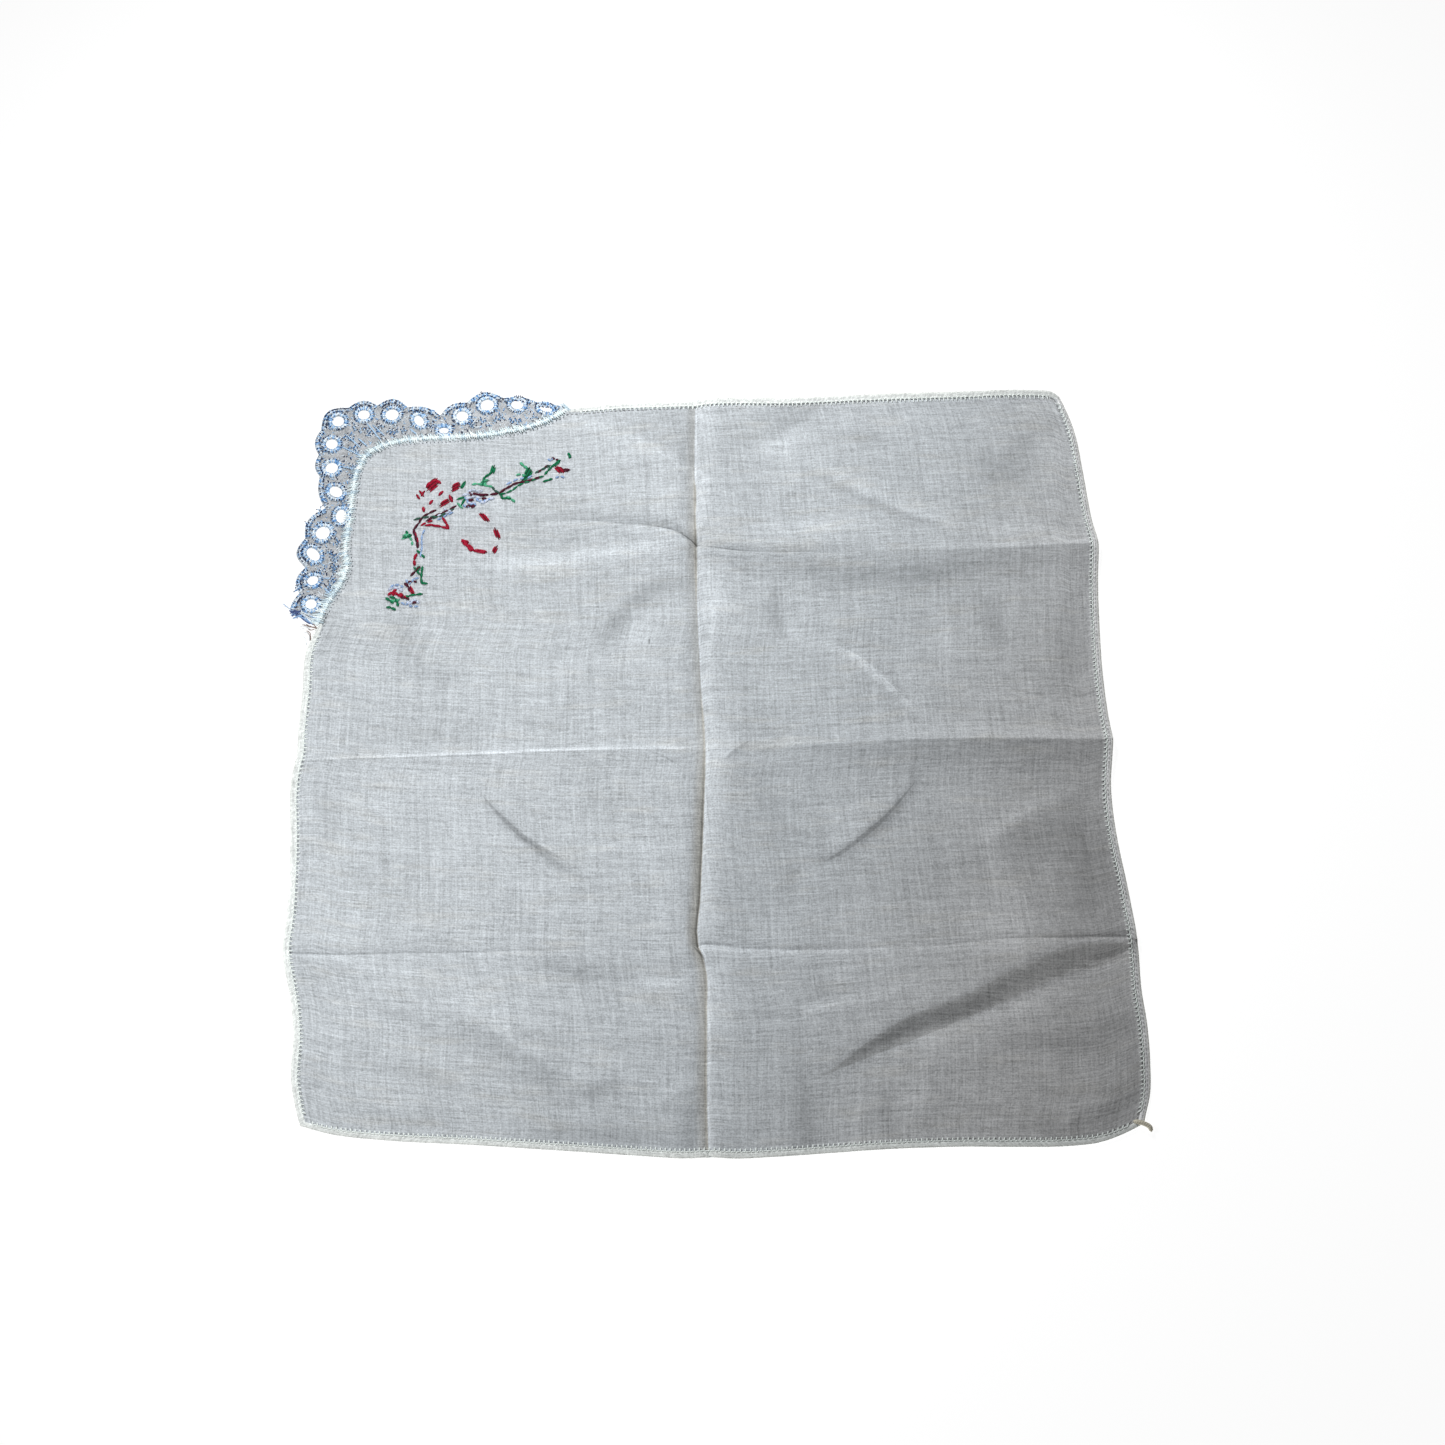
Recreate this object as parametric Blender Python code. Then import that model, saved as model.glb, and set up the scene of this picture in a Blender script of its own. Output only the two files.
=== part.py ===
"""A lady's pocket handkerchief with a scalloped lace corner, laid out on a flat surface.

Two pieces are cut and sewn: a square of fine cotton with a narrow hem, whose upper left corner is
cut away in a curve, and the eyelet lace that fills that corner. The square still carries the creases
of the way it was folded: one down the middle, three across, and a few soft ones between.

Tables are in millimetres, in the part's own frame: X runs right, Y away from the viewer, Z up, and
the origin is under the middle of the part, on the surface that it lies on.
"""

import math
from collections import namedtuple

import bmesh
import bpy
import numpy as np

MM = 0.001

# Driving dimensions, in millimetres
CLOTH_THICK = 1.0
LACE_THICK = 1.0
HEM_WIDE = 3.5
HEM_EXTRA = 0.5
SEAM_GAP = 0.3
TOUCH = 0.15
STATION_STEP = 10.5
HEM_TIP = (1.6, -2.6)

CLOTH_COLOUR = (0.62, 0.63, 0.61, 1.0)
LACE_COLOUR = (0.42, 0.50, 0.62, 1.0)
FABRIC_ROUGHNESS = 0.9

Point = namedtuple("Point", "x y")
Stop = namedtuple("Stop", "x y high")

# The hemmed edges. Their upper left ends run on under the lace, to where the square's corner was
TOP_EDGE = [
    Point(-149, 146), Point(-120, 145), Point(-90, 144), Point(-53, 142.9), Point(-32, 143.8),
    Point(-3, 145.1), Point(2.4, 146.5), Point(34, 147.7), Point(66, 149.3), Point(99, 150.5),
    Point(120, 151.2), Point(131, 150.6), Point(136, 150), Point(139.1, 147.4),
]
BOTTOM_EDGE = [
    Point(-137.1, -139.6), Point(-127.7, -142.2), Point(-108, -144.6), Point(-79, -146.2),
    Point(-49, -148.1), Point(-20, -150.1), Point(-4.5, -151.1), Point(1.9, -150.7),
    Point(8.3, -151.1), Point(24, -150.4), Point(45, -148.9), Point(67, -147.6), Point(88, -146.9),
    Point(109, -146.9), Point(125, -146.6), Point(135.7, -145.2), Point(143.3, -142.4),
    Point(150.3, -138.9),
]
LEFT_EDGE = [
    Point(-149, 146), Point(-147.5, 120), Point(-146, 90), Point(-144.5, 65), Point(-143.2, 50),
    Point(-144.3, 46.7), Point(-146.3, 40), Point(-146.6, 23), Point(-146.2, 6), Point(-145.2, -5),
    Point(-146.7, -9.5), Point(-147.8, -16), Point(-147.1, -33), Point(-145.7, -49.5),
    Point(-144.9, -65.6), Point(-145.9, -77), Point(-143.6, -89), Point(-141.8, -97.3),
    Point(-140.5, -107.7), Point(-140.8, -123), Point(-139.5, -131.2), Point(-137.1, -139.6),
]
RIGHT_EDGE = [
    Point(139.1, 147.4), Point(140.9, 142), Point(143, 132.3), Point(145.4, 116), Point(147.2, 94.5),
    Point(148, 83.4), Point(146.2, 70.4), Point(145.5, 47), Point(145.6, 30), Point(146.8, 15.5),
    Point(148, 3), Point(147.2, -4), Point(146, -13), Point(145.9, -27), Point(147.1, -37),
    Point(150.1, -51.4), Point(151.9, -65.3), Point(152.3, -77), Point(152.5, -90.7),
    Point(153.7, -104), Point(153.8, -117.8), Point(153, -128.7), Point(150.8, -136.8),
    Point(150.3, -138.9),
]

# The folds of the folded square, with how high the cloth stands beside or on each
CENTRE_FOLD = [
    Stop(-3, 145.1, 1.0), Stop(-2.9, 125, 1.6), Stop(-2.8, 103, 1.6), Stop(-2.8, 82.4, 1.9),
    Stop(-1.6, 61, 1.8), Stop(-0.8, 40, 2.0), Stop(0, 20, 2.1), Stop(0.6, -0.6, 1.6),
    Stop(0.2, -19.6, 2.4), Stop(-0.9, -39, 2.8), Stop(-1.5, -58, 2.8), Stop(-2.1, -74.6, 2.6),
    Stop(0.7, -83, 1.7), Stop(0.7, -98, 1.6), Stop(0.8, -116, 1.5), Stop(1.2, -134, 1.4),
    Stop(1.9, -150.7, 1.0),
]
UPPER_FOLD = [
    Stop(-146, 80, 0), Stop(-96, 86.8, 0), Stop(-48, 94.3, 0.9), Stop(-32, 92.8, 1.4),
    Stop(-17, 90.7, 1.8), Stop(-9.2, 87.7, 1.9), Stop(-2.8, 82.4, 1.6), Stop(6, 81.3, 1.4),
    Stop(28, 80.9, 1.5), Stop(55, 81.1, 1.3), Stop(92, 81.5, 1.2), Stop(126, 82.6, 1.3),
    Stop(148, 83.4, 1.2),
]
MIDDLE_FOLD = [
    Stop(-145.2, -5, 2.2), Stop(-131.5, -4.5, 2.4), Stop(-110, -3.6, 2.2), Stop(-85, -2.6, 2.1),
    Stop(-52, -1.2, 2.2), Stop(-23, -0.2, 2.2), Stop(0.6, -0.6, 1.2), Stop(13, 0.8, 2.0),
    Stop(35, 1.0, 2.2), Stop(64, 2.4, 2.6), Stop(93, 3.2, 3.0), Stop(122, 3.0, 3.0),
    Stop(148, 3.0, 2.6),
]
LOWER_FOLD = [
    Stop(-145.9, -77.6, 1.8), Stop(-127, -78.3, 1.6), Stop(-106, -77.7, 1.5), Stop(-82, -77.3, 1.4),
    Stop(-57, -76.4, 1.2), Stop(-29, -76.2, 1.0), Stop(-2.1, -75.7, 1.2), Stop(20, -76.8, 1.6),
    Stop(52, -76.4, 1.6), Stop(80, -75.3, 1.2), Stop(104, -73.4, 1.4), Stop(129, -73.1, 1.8),
    Stop(152.3, -72, 1.8),
]

# Softer creases between the folds
RIPPLE = [
    Stop(151, -77, 3.4), Stop(141, -80, 3.6), Stop(122, -83, 3.8), Stop(106, -91, 3.6),
    Stop(90, -98, 3.4), Stop(74, -107.5, 2.6), Stop(58, -119, 1.2), Stop(44, -127, 0),
]
RIDGE_UNDER_UPPER_FOLD = [
    Stop(-100, 63, 0), Stop(-72, 68.5, 1.2), Stop(-42, 71, 1.6), Stop(-16, 76.5, 1.4),
    Stop(-5, 80, 0),
]
LEFT_TUCK = [Stop(-82, -18, 0), Stop(-73, -30, 1.1), Stop(-63, -41, 1.2), Stop(-51, -49, 0)]
RIGHT_TUCK = [Stop(76, -13, 0), Stop(69, -26, 1.4), Stop(57, -37, 1.4), Stop(42, -47, 0)]
UPPER_TUCK = [Stop(52, 42, 0), Stop(63, 34, 1.0), Stop(71, 24.5, 1.0), Stop(76, 15, 0)]

# How the cloth stands to each side of a crease: left and right are widths, seen along its stops
Crease = namedtuple("Crease", "stops kind left right")
CREASES = [
    Crease(CENTRE_FOLD, "valley", 3.0, 6.0),
    Crease(UPPER_FOLD, "valley", 7.0, 3.5),
    Crease(MIDDLE_FOLD, "ridge", 5.0, 8.0),
    Crease(LOWER_FOLD, "valley", 4.0, 4.0),
    Crease(RIPPLE, "tent", 7.0, 22.0),
    Crease(RIDGE_UNDER_UPPER_FOLD, "ridge", 7.0, 12.0),
    Crease(LEFT_TUCK, "ridge", 6.0, 2.5),
    Crease(RIGHT_TUCK, "ridge", 2.5, 6.0),
    Crease(UPPER_TUCK, "ridge", 2.5, 6.0),
]

# The curve in which the corner is cut away, where the lace is sewn on
SEAM = [
    Point(-52.2, 142.7), Point(-58.9, 138.2), Point(-69, 134.1), Point(-88.4, 130.5),
    Point(-108.8, 129.1), Point(-120, 127.3), Point(-127.5, 123.5), Point(-131.9, 115.3),
    Point(-133, 104.3), Point(-134, 87.1), Point(-134.4, 81), Point(-133.3, 74.6),
    Point(-134.7, 68.9), Point(-139.8, 58.9), Point(-143.2, 50),
]
SEAM_STEP = 3.0
CORNER_CUT = [Point(-160, 50), Point(-170, 170), Point(-46, 170), Point(-46, 147)]

# The lace's outer edge: each scallop is an arc from its own notch to the next one
Scallop = namedtuple("Scallop", "x y rise")
SCALLOPS = [
    Scallop(-54, 143.4, 0.2), Scallop(-64.2, 145.4, 1.4), Scallop(-77.5, 147.4, 3.6),
    Scallop(-91.5, 145.4, 2.0), Scallop(-101.4, 139.6, 2.0), Scallop(-114.2, 143.2, 3.3),
    Scallop(-125.8, 144.2, 2.6), Scallop(-136.8, 143.0, 4.4), Scallop(-146.7, 133.2, 1.9),
    Scallop(-147, 122.3, 1.7), Scallop(-146, 113, 1.5), Scallop(-143.1, 99.1, 3.2),
    Scallop(-149.8, 86.2, 3.3), Scallop(-149, 74.1, 2.3), Scallop(-150.5, 63.1, 0.6),
]
ARC_SIDES = 7
LACE_END = [Point(-153.8, 55.8), Point(-152.3, 52.3), Point(-145.5, 51.6)]

# The eyelets: half_long and half_wide are half the hole's size, tilt_deg turns the long way from +X
Eyelet = namedtuple("Eyelet", "x y half_long half_wide tilt_deg")
EYELETS = [
    Eyelet(-61.1, 142.6, 2.7, 1.2, -20), Eyelet(-72.1, 144.5, 2.4, 2.0, 0),
    Eyelet(-83.6, 144.3, 2.6, 2.4, 0), Eyelet(-93.0, 139.3, 2.3, 2.2, 0),
    Eyelet(-99.8, 133.0, 1.9, 1.3, 0), Eyelet(-109.5, 137.3, 2.5, 1.7, -60),
    Eyelet(-120.0, 139.9, 2.6, 2.4, 0), Eyelet(-130.8, 140.0, 2.3, 2.1, 0),
    Eyelet(-140.5, 137.0, 2.3, 2.2, 0), Eyelet(-142.3, 127.0, 2.3, 2.2, -20),
    Eyelet(-141.7, 116.5, 2.4, 2.3, 0), Eyelet(-139.5, 106.3, 2.7, 2.1, -40),
    Eyelet(-136.9, 95.7, 2.9, 2.0, 90), Eyelet(-143.4, 88.6, 2.8, 2.6, 60),
    Eyelet(-146.4, 79.5, 3.1, 2.0, -48), Eyelet(-145.9, 68.6, 2.1, 1.9, 20),
    Eyelet(-145.9, 58.7, 2.1, 2.0, 0),
]
EYELET_SIDES = 20


def fabric(name, colour):
    """A matt woven finish in one colour."""
    material = bpy.data.materials.new(name)
    material.use_nodes = True
    surface = material.node_tree.nodes["Principled BSDF"]
    surface.inputs["Base Color"].default_value = colour
    surface.inputs["Roughness"].default_value = FABRIC_ROUGHNESS
    surface.inputs["Metallic"].default_value = 0.0
    return material


def smooth(at, knots, values):
    """The smooth curve through (knots, values), read at each place in at. Between two knots it is the
    cubic whose slope at each knot is the one from the knot before to the knot after."""
    slopes = np.gradient(values, knots)
    k = np.clip(np.searchsorted(knots, at) - 1, 0, len(knots) - 2)
    span = knots[k + 1] - knots[k]
    t = (at - knots[k]) / span
    return (
        values[k] * (1 + 2 * t) * (1 - t) ** 2
        + values[k + 1] * t * t * (3 - 2 * t)
        + span * (slopes[k] * t * (1 - t) ** 2 - slopes[k + 1] * t * t * (1 - t))
    )


def across(stops):
    """A line that runs left to right, as y for any x."""
    xs = np.array([s.x for s in stops], float)
    ys = np.array([s.y for s in stops], float)
    return lambda x: smooth(x, xs, ys)


def down(stops):
    """A line that runs from the far edge to the near one, as x for any y."""
    xs = np.array([s.x for s in stops], float)[::-1]
    ys = np.array([s.y for s in stops], float)[::-1]
    return lambda y: smooth(y, ys, xs)


def along(stops, step):
    """Points about step apart on the smooth curve through the stops."""
    corners = np.array([(s.x, s.y) for s in stops], float)
    run = np.concatenate([[0], np.cumsum(np.hypot(*np.diff(corners, axis=0).T))])
    at = np.linspace(0, run[-1], math.ceil(run[-1] / step) + 1)
    return np.stack([smooth(at, run, corners[:, k]) for k in (0, 1)], axis=1)


def crossing(row, column, y):
    """Where a line across meets a line down, found from a first guess of y by going to and fro."""
    for _ in range(30):
        x = column(y)
        y = row(x)
    return np.array([x, y])


def stations(length, near_edge, near_fold):
    """Shares of one panel's length at which the grid has lines. They are close together beside a fold,
    where the cloth bends, and at the hem."""
    close = {"fold": (1.5, 4.0, 8.0), "hem": (HEM_WIDE,)}
    start, end = close[near_edge], close[near_fold]
    low, high = start[-1], length - end[-1]
    even = np.linspace(low, high, math.ceil((high - low) / STATION_STEP) + 1)
    return np.concatenate([[0], start[:-1], even, length - np.array(end[:-1][::-1]), [length]]) / length


def panel(u, v, top, bottom, left, right, corners):
    """A four-sided patch that meets its four edge lines: the two blends of opposite edges added, less
    the blend of its corners. u and v are shares of its width and depth."""
    (p00, p10), (p01, p11) = corners
    top_x = p00[0] + (p10[0] - p00[0]) * u
    bottom_x = p01[0] + (p11[0] - p01[0]) * u
    left_y = p00[1] + (p01[1] - p00[1]) * v
    right_y = p10[1] + (p11[1] - p10[1]) * v
    ends = (
        np.stack([top_x, top(top_x)], -1) * (1 - v)[..., None]
        + np.stack([bottom_x, bottom(bottom_x)], -1) * v[..., None]
    )
    sides = (
        np.stack([left(left_y), left_y], -1) * (1 - u)[..., None]
        + np.stack([right(right_y), right_y], -1) * u[..., None]
    )
    u, v = u[..., None], v[..., None]
    return ends + sides - (p00 * (1 - u) * (1 - v) + p10 * u * (1 - v) + p01 * (1 - u) * v + p11 * u * v)


def cloth_plan():
    """The grid of the whole square seen from above, rows from the far edge to the near one."""
    rows = [across(s) for s in (TOP_EDGE, UPPER_FOLD, MIDDLE_FOLD, LOWER_FOLD, BOTTOM_EDGE)]
    columns = [down(s) for s in (LEFT_EDGE, CENTRE_FOLD, RIGHT_EDGE)]
    guesses = (145.0, 82.0, 0.0, -76.0, -148.0)
    nodes = np.array([[crossing(r, c, g) for c in columns] for r, g in zip(rows, guesses)])
    wide = np.diff(nodes[:, :, 0], axis=1).mean(axis=0)
    deep = -np.diff(nodes[:, :, 1], axis=0).mean(axis=1)
    last_row, last_column = len(deep) - 1, len(wide) - 1
    bands = []
    for i in range(len(deep)):
        v = stations(deep[i], "hem" if i == 0 else "fold", "hem" if i == last_row else "fold")
        strips = []
        for j in range(len(wide)):
            u = stations(wide[j], "hem" if j == 0 else "fold", "hem" if j == last_column else "fold")
            across_u, down_v = np.meshgrid(u, v)
            edges = (rows[i], rows[i + 1], columns[j], columns[j + 1])
            strips.append(panel(across_u, down_v, *edges, nodes[i : i + 2, j : j + 2]))
        strips[1:] = [s[:, 1:] for s in strips[1:]]
        bands.append(np.concatenate(strips, axis=1))
    bands[1:] = [b[1:] for b in bands[1:]]
    grid = np.concatenate(bands, axis=0)
    grid[-1, -1] += HEM_TIP
    return grid


def beside(points, crease):
    """For each point its distance from the crease, positive to the left of the way that its stops run,
    and the crease's height at the nearest place."""
    route = np.array([(s.x, s.y) for s in crease.stops], float)
    high = np.array([s.high for s in crease.stops], float)
    best = np.full(len(points), np.inf)
    signed, rise = np.zeros(len(points)), np.zeros(len(points))
    for a, b, low, top in zip(route[:-1], route[1:], high[:-1], high[1:]):
        run = b - a
        t = np.clip((points - a) @ run / (run @ run), 0, 1)
        gap = points - a - t[:, None] * run
        away = np.hypot(gap[:, 0], gap[:, 1])
        side = np.where(run[0] * gap[:, 1] - run[1] * gap[:, 0] >= 0, 1.0, -1.0)
        nearer = away < best
        best = np.where(nearer, away, best)
        signed = np.where(nearer, away * side, signed)
        rise = np.where(nearer, low + (top - low) * t, rise)
    return signed, rise


def lift(points):
    """How far the cloth's underside stands off the surface, in millimetres: every crease adds its own
    rise, as a crest that falls away on both sides, a tent with a sharp foot, or a dip between two
    swells. Below TOUCH the cloth lies flat."""
    total = np.zeros(len(points))
    for crease in CREASES:
        away, rise = beside(points, crease)
        share = np.abs(away) / np.where(away > 0, crease.left, crease.right)
        shape = {
            "ridge": np.exp(-share),
            "tent": np.where(away > 0, np.clip(1 - share, 0, 1), np.exp(-share)),
            "valley": share * np.exp(1 - share),
        }[crease.kind]
        total += rise * shape
    return np.maximum(total - TOUCH, 0)


def add_object(name, data, material):
    """A named object in the scene with one material."""
    thing = bpy.data.objects.new(name, data)
    thing.data.materials.append(material)
    bpy.context.scene.collection.objects.link(thing)
    return thing


def corner_cutter():
    """A block over the corner that is cut away, whose inner side is the seam's curve."""
    outline = [*along(SEAM, SEAM_STEP), *[(p.x, p.y) for p in CORNER_CUT]]
    shape = bmesh.new()
    corners = [shape.verts.new((x * MM, y * MM, -10 * MM)) for x, y in outline]
    base = shape.faces.new(corners)
    raised = bmesh.ops.extrude_face_region(shape, geom=[base], use_keep_orig=True)["geom"]
    upper = [g for g in raised if isinstance(g, bmesh.types.BMVert)]
    bmesh.ops.translate(shape, verts=upper, vec=(0, 0, 30 * MM))
    bmesh.ops.recalc_face_normals(shape, faces=shape.faces)
    mesh = bpy.data.meshes.new("corner_cutter")
    shape.to_mesh(mesh)
    shape.free()
    cutter = add_object("corner_cutter", mesh, fabric("cutter", CLOTH_COLOUR))
    cutter.hide_render = True
    cutter.display_type = "WIRE"
    return cutter


def make_cloth():
    """The hemmed square on its folds: the grid is laid on the creases, thickened upwards, a little more
    at the hem, and the corner is cut away."""
    grid = cloth_plan()
    rows, columns = grid.shape[:2]
    flat = grid.reshape(-1, 2)
    shape = bmesh.new()
    thick = shape.verts.layers.float.new("thick")
    verts = []
    for k, ((x, y), z) in enumerate(zip(flat, lift(flat))):
        vert = shape.verts.new((x * MM, y * MM, z * MM))
        vert[thick] = (CLOTH_THICK + (HEM_EXTRA if on_hem(k, rows, columns) else 0)) * MM
        verts.append(vert)
    for k in range((rows - 1) * columns):
        if (k + 1) % columns:
            shape.faces.new([verts[k], verts[k + columns], verts[k + columns + 1], verts[k + 1]])
    made = bmesh.ops.extrude_face_region(shape, geom=shape.faces[:], use_keep_orig=True)["geom"]
    for vert in (g for g in made if isinstance(g, bmesh.types.BMVert)):
        vert.co.z += vert[thick]
    bmesh.ops.recalc_face_normals(shape, faces=shape.faces)
    mesh = bpy.data.meshes.new("cloth")
    shape.to_mesh(mesh)
    shape.free()
    cloth = add_object("cloth", mesh, fabric("cotton", CLOTH_COLOUR))
    cut = cloth.modifiers.new("corner_cut", "BOOLEAN")
    cut.operation = "DIFFERENCE"
    cut.solver = "EXACT"
    cut.object = corner_cutter()


def on_hem(k, rows, columns):
    """Whether grid point k is on the outer edge or on the hem's inner line."""
    i, j = divmod(k, columns)
    return i in (0, 1, rows - 2, rows - 1) or j in (0, 1, columns - 2, columns - 1)


def scallop_edge():
    """The lace's outer edge, from its right end to its lower one: each scallop is the arc over its chord
    that rises by its rise, drawn as half a sine wave."""
    ends = [(s.x, s.y) for s in SCALLOPS[1:]] + [(LACE_END[0].x, LACE_END[0].y)]
    points = []
    for scallop, end in zip(SCALLOPS, ends):
        start = np.array([scallop.x, scallop.y])
        chord = np.array(end) - start
        out = np.array([chord[1], -chord[0]]) / np.hypot(*chord)
        for t in np.arange(ARC_SIDES) / ARC_SIDES:
            points.append(start + chord * t + out * scallop.rise * math.sin(math.pi * t))
    return points


def seam_side():
    """The lace's inner edge, the seam's curve moved out by the gap between the two pieces."""
    line = along(SEAM, SEAM_STEP)
    way = np.gradient(line, axis=0)
    out = np.stack([way[:, 1], -way[:, 0]], axis=1) / np.hypot(*way.T)[:, None]
    return (line + out * SEAM_GAP)[1:-1]


def make_lace():
    """The eyelet lace: a flat scalloped band between the seam and its outer edge, with its eyelets cut
    through."""
    curve = bpy.data.curves.new("lace", "CURVE")
    curve.dimensions = "2D"
    curve.fill_mode = "BOTH"
    curve.extrude = LACE_THICK / 2 * MM
    rim = [*scallop_edge(), *[(p.x, p.y) for p in LACE_END], *seam_side()[::-1]]
    add_loop(curve, rim)
    for eyelet in EYELETS:
        turn = math.radians(eyelet.tilt_deg)
        angles = np.arange(EYELET_SIDES) * 2 * math.pi / EYELET_SIDES
        long, wide = eyelet.half_long * np.cos(angles), eyelet.half_wide * np.sin(angles)
        xs = eyelet.x + long * math.cos(turn) - wide * math.sin(turn)
        ys = eyelet.y + long * math.sin(turn) + wide * math.cos(turn)
        add_loop(curve, zip(xs, ys))
    lace = add_object("lace", curve, fabric("lace_thread", LACE_COLOUR))
    lace.location.z = LACE_THICK / 2 * MM


def add_loop(curve, points):
    """A closed straight-sided loop on a flat curve."""
    points = list(points)
    loop = curve.splines.new("POLY")
    loop.points.add(len(points) - 1)
    for place, (x, y) in zip(loop.points, points):
        place.co = (x * MM, y * MM, 0, 1)
    loop.use_cyclic_u = True


for leftover in list(bpy.data.objects):
    bpy.data.objects.remove(leftover)
make_cloth()
make_lace()
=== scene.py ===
"""A lady's pocket handkerchief with a scalloped lace corner, lying open on a table.

Lengths are in millimetres until they go into a mesh. X runs right, Y away from the viewer, Z up.
"""

import math

from collections import namedtuple

import bpy
import numpy as np
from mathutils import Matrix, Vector
from mathutils.geometry import delaunay_2d_cdt


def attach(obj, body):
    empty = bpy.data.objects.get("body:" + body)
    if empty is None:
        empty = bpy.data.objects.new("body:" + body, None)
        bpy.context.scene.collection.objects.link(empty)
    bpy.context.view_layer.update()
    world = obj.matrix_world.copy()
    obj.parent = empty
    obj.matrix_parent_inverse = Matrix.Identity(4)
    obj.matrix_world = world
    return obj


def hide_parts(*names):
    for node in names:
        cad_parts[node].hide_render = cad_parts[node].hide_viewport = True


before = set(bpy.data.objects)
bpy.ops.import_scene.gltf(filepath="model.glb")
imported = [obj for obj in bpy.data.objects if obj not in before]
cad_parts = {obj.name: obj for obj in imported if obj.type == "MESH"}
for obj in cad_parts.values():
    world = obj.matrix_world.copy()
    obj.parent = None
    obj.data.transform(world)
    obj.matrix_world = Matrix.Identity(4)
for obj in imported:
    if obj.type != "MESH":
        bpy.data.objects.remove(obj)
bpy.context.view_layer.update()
MM = 0.001

# The view: a picture taken from above the near edge, tipped a little towards the far one, with the
# cloth's middle just left of and under the middle of the frame.
AIM = (6.8 * MM, 10.85 * MM, 0.0)
CAMERA_AWAY = 0.957
CAMERA_TILT = math.radians(24.1)
SENSOR = 36.0
FOCAL_PIXELS, FRAME_PIXELS = 2630.0, 1445.0

camera = bpy.data.objects.new("camera", bpy.data.cameras.new("camera"))
camera.data.sensor_width = SENSOR
camera.data.lens = FOCAL_PIXELS / FRAME_PIXELS * SENSOR
camera.data.clip_start = 0.01
camera.location = (
    AIM[0],
    AIM[1] - CAMERA_AWAY * math.sin(CAMERA_TILT),
    CAMERA_AWAY * math.cos(CAMERA_TILT),
)
camera.rotation_euler = (CAMERA_TILT, 0, 0)
bpy.context.scene.collection.objects.link(camera)
bpy.context.scene.camera = camera
bpy.context.scene.view_settings.view_transform = "Standard"

# The light: a window beyond the far edge, a nearer one at the left, and the pale room.
Lamp = namedtuple("Lamp", "name x y z size watts colour")
LAMPS = [
    Lamp("window", -0.036, 0.276, 0.263, 0.12, 0.90, (0.99, 0.995, 1.0)),
    Lamp("side_window", -0.18, -0.10, 0.246, 0.14, 0.54, (0.99, 0.995, 1.0)),
]
ROOM_LIGHT = 0.03


def aimed(place, target=(0, 0, 0)):
    """The turn that points an object's -Z from its place at the target."""
    return (Vector(target) - Vector(place)).to_track_quat("-Z", "Y").to_euler()


for lamp in LAMPS:
    light = bpy.data.lights.new(lamp.name, "AREA")
    light.shape = "DISK"
    light.size = lamp.size
    light.energy = lamp.watts
    light.color = lamp.colour
    holder = bpy.data.objects.new(lamp.name, light)
    holder.location = (lamp.x, lamp.y, lamp.z)
    holder.rotation_euler = aimed(holder.location)
    bpy.context.scene.collection.objects.link(holder)

room = bpy.data.worlds.new("room")
room.use_nodes = True
room.node_tree.nodes["Background"].inputs["Color"].default_value = (1, 1, 1, 1)
room.node_tree.nodes["Background"].inputs["Strength"].default_value = ROOM_LIGHT
bpy.context.scene.world = room


class Wire:
    """A node's output. Sums on it, with numbers or other wires on either side, add Math nodes."""

    def __init__(self, finish, socket):
        self.finish, self.socket = finish, socket

    def math(self, operation, *values):
        return self.finish.node("ShaderNodeMath", {"operation": operation}, dict(enumerate(values)))

    def __add__(self, other):
        return self.math("ADD", self, other)

    def __sub__(self, other):
        return self.math("SUBTRACT", self, other)

    def __rsub__(self, other):
        return self.math("SUBTRACT", other, self)

    def __mul__(self, other):
        return self.math("MULTIPLY", self, other)

    def __truediv__(self, other):
        return self.math("DIVIDE", self, other)

    def __pow__(self, other):
        return self.math("POWER", self, other)

    def __abs__(self):
        return self.math("ABSOLUTE", self)

    def least(self, other):
        return self.math("MINIMUM", self, other)

    def most(self, other):
        return self.math("MAXIMUM", self, other)

    def under(self, other):
        """1 where this is less than the other, else 0."""
        return self.math("LESS_THAN", self, other)

    def cycle(self):
        """What is left of it after the whole number below it."""
        return self.math("FRACT", self)

    def sine(self):
        return self.math("SINE", self)

    __radd__ = __add__
    __rmul__ = __mul__


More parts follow.
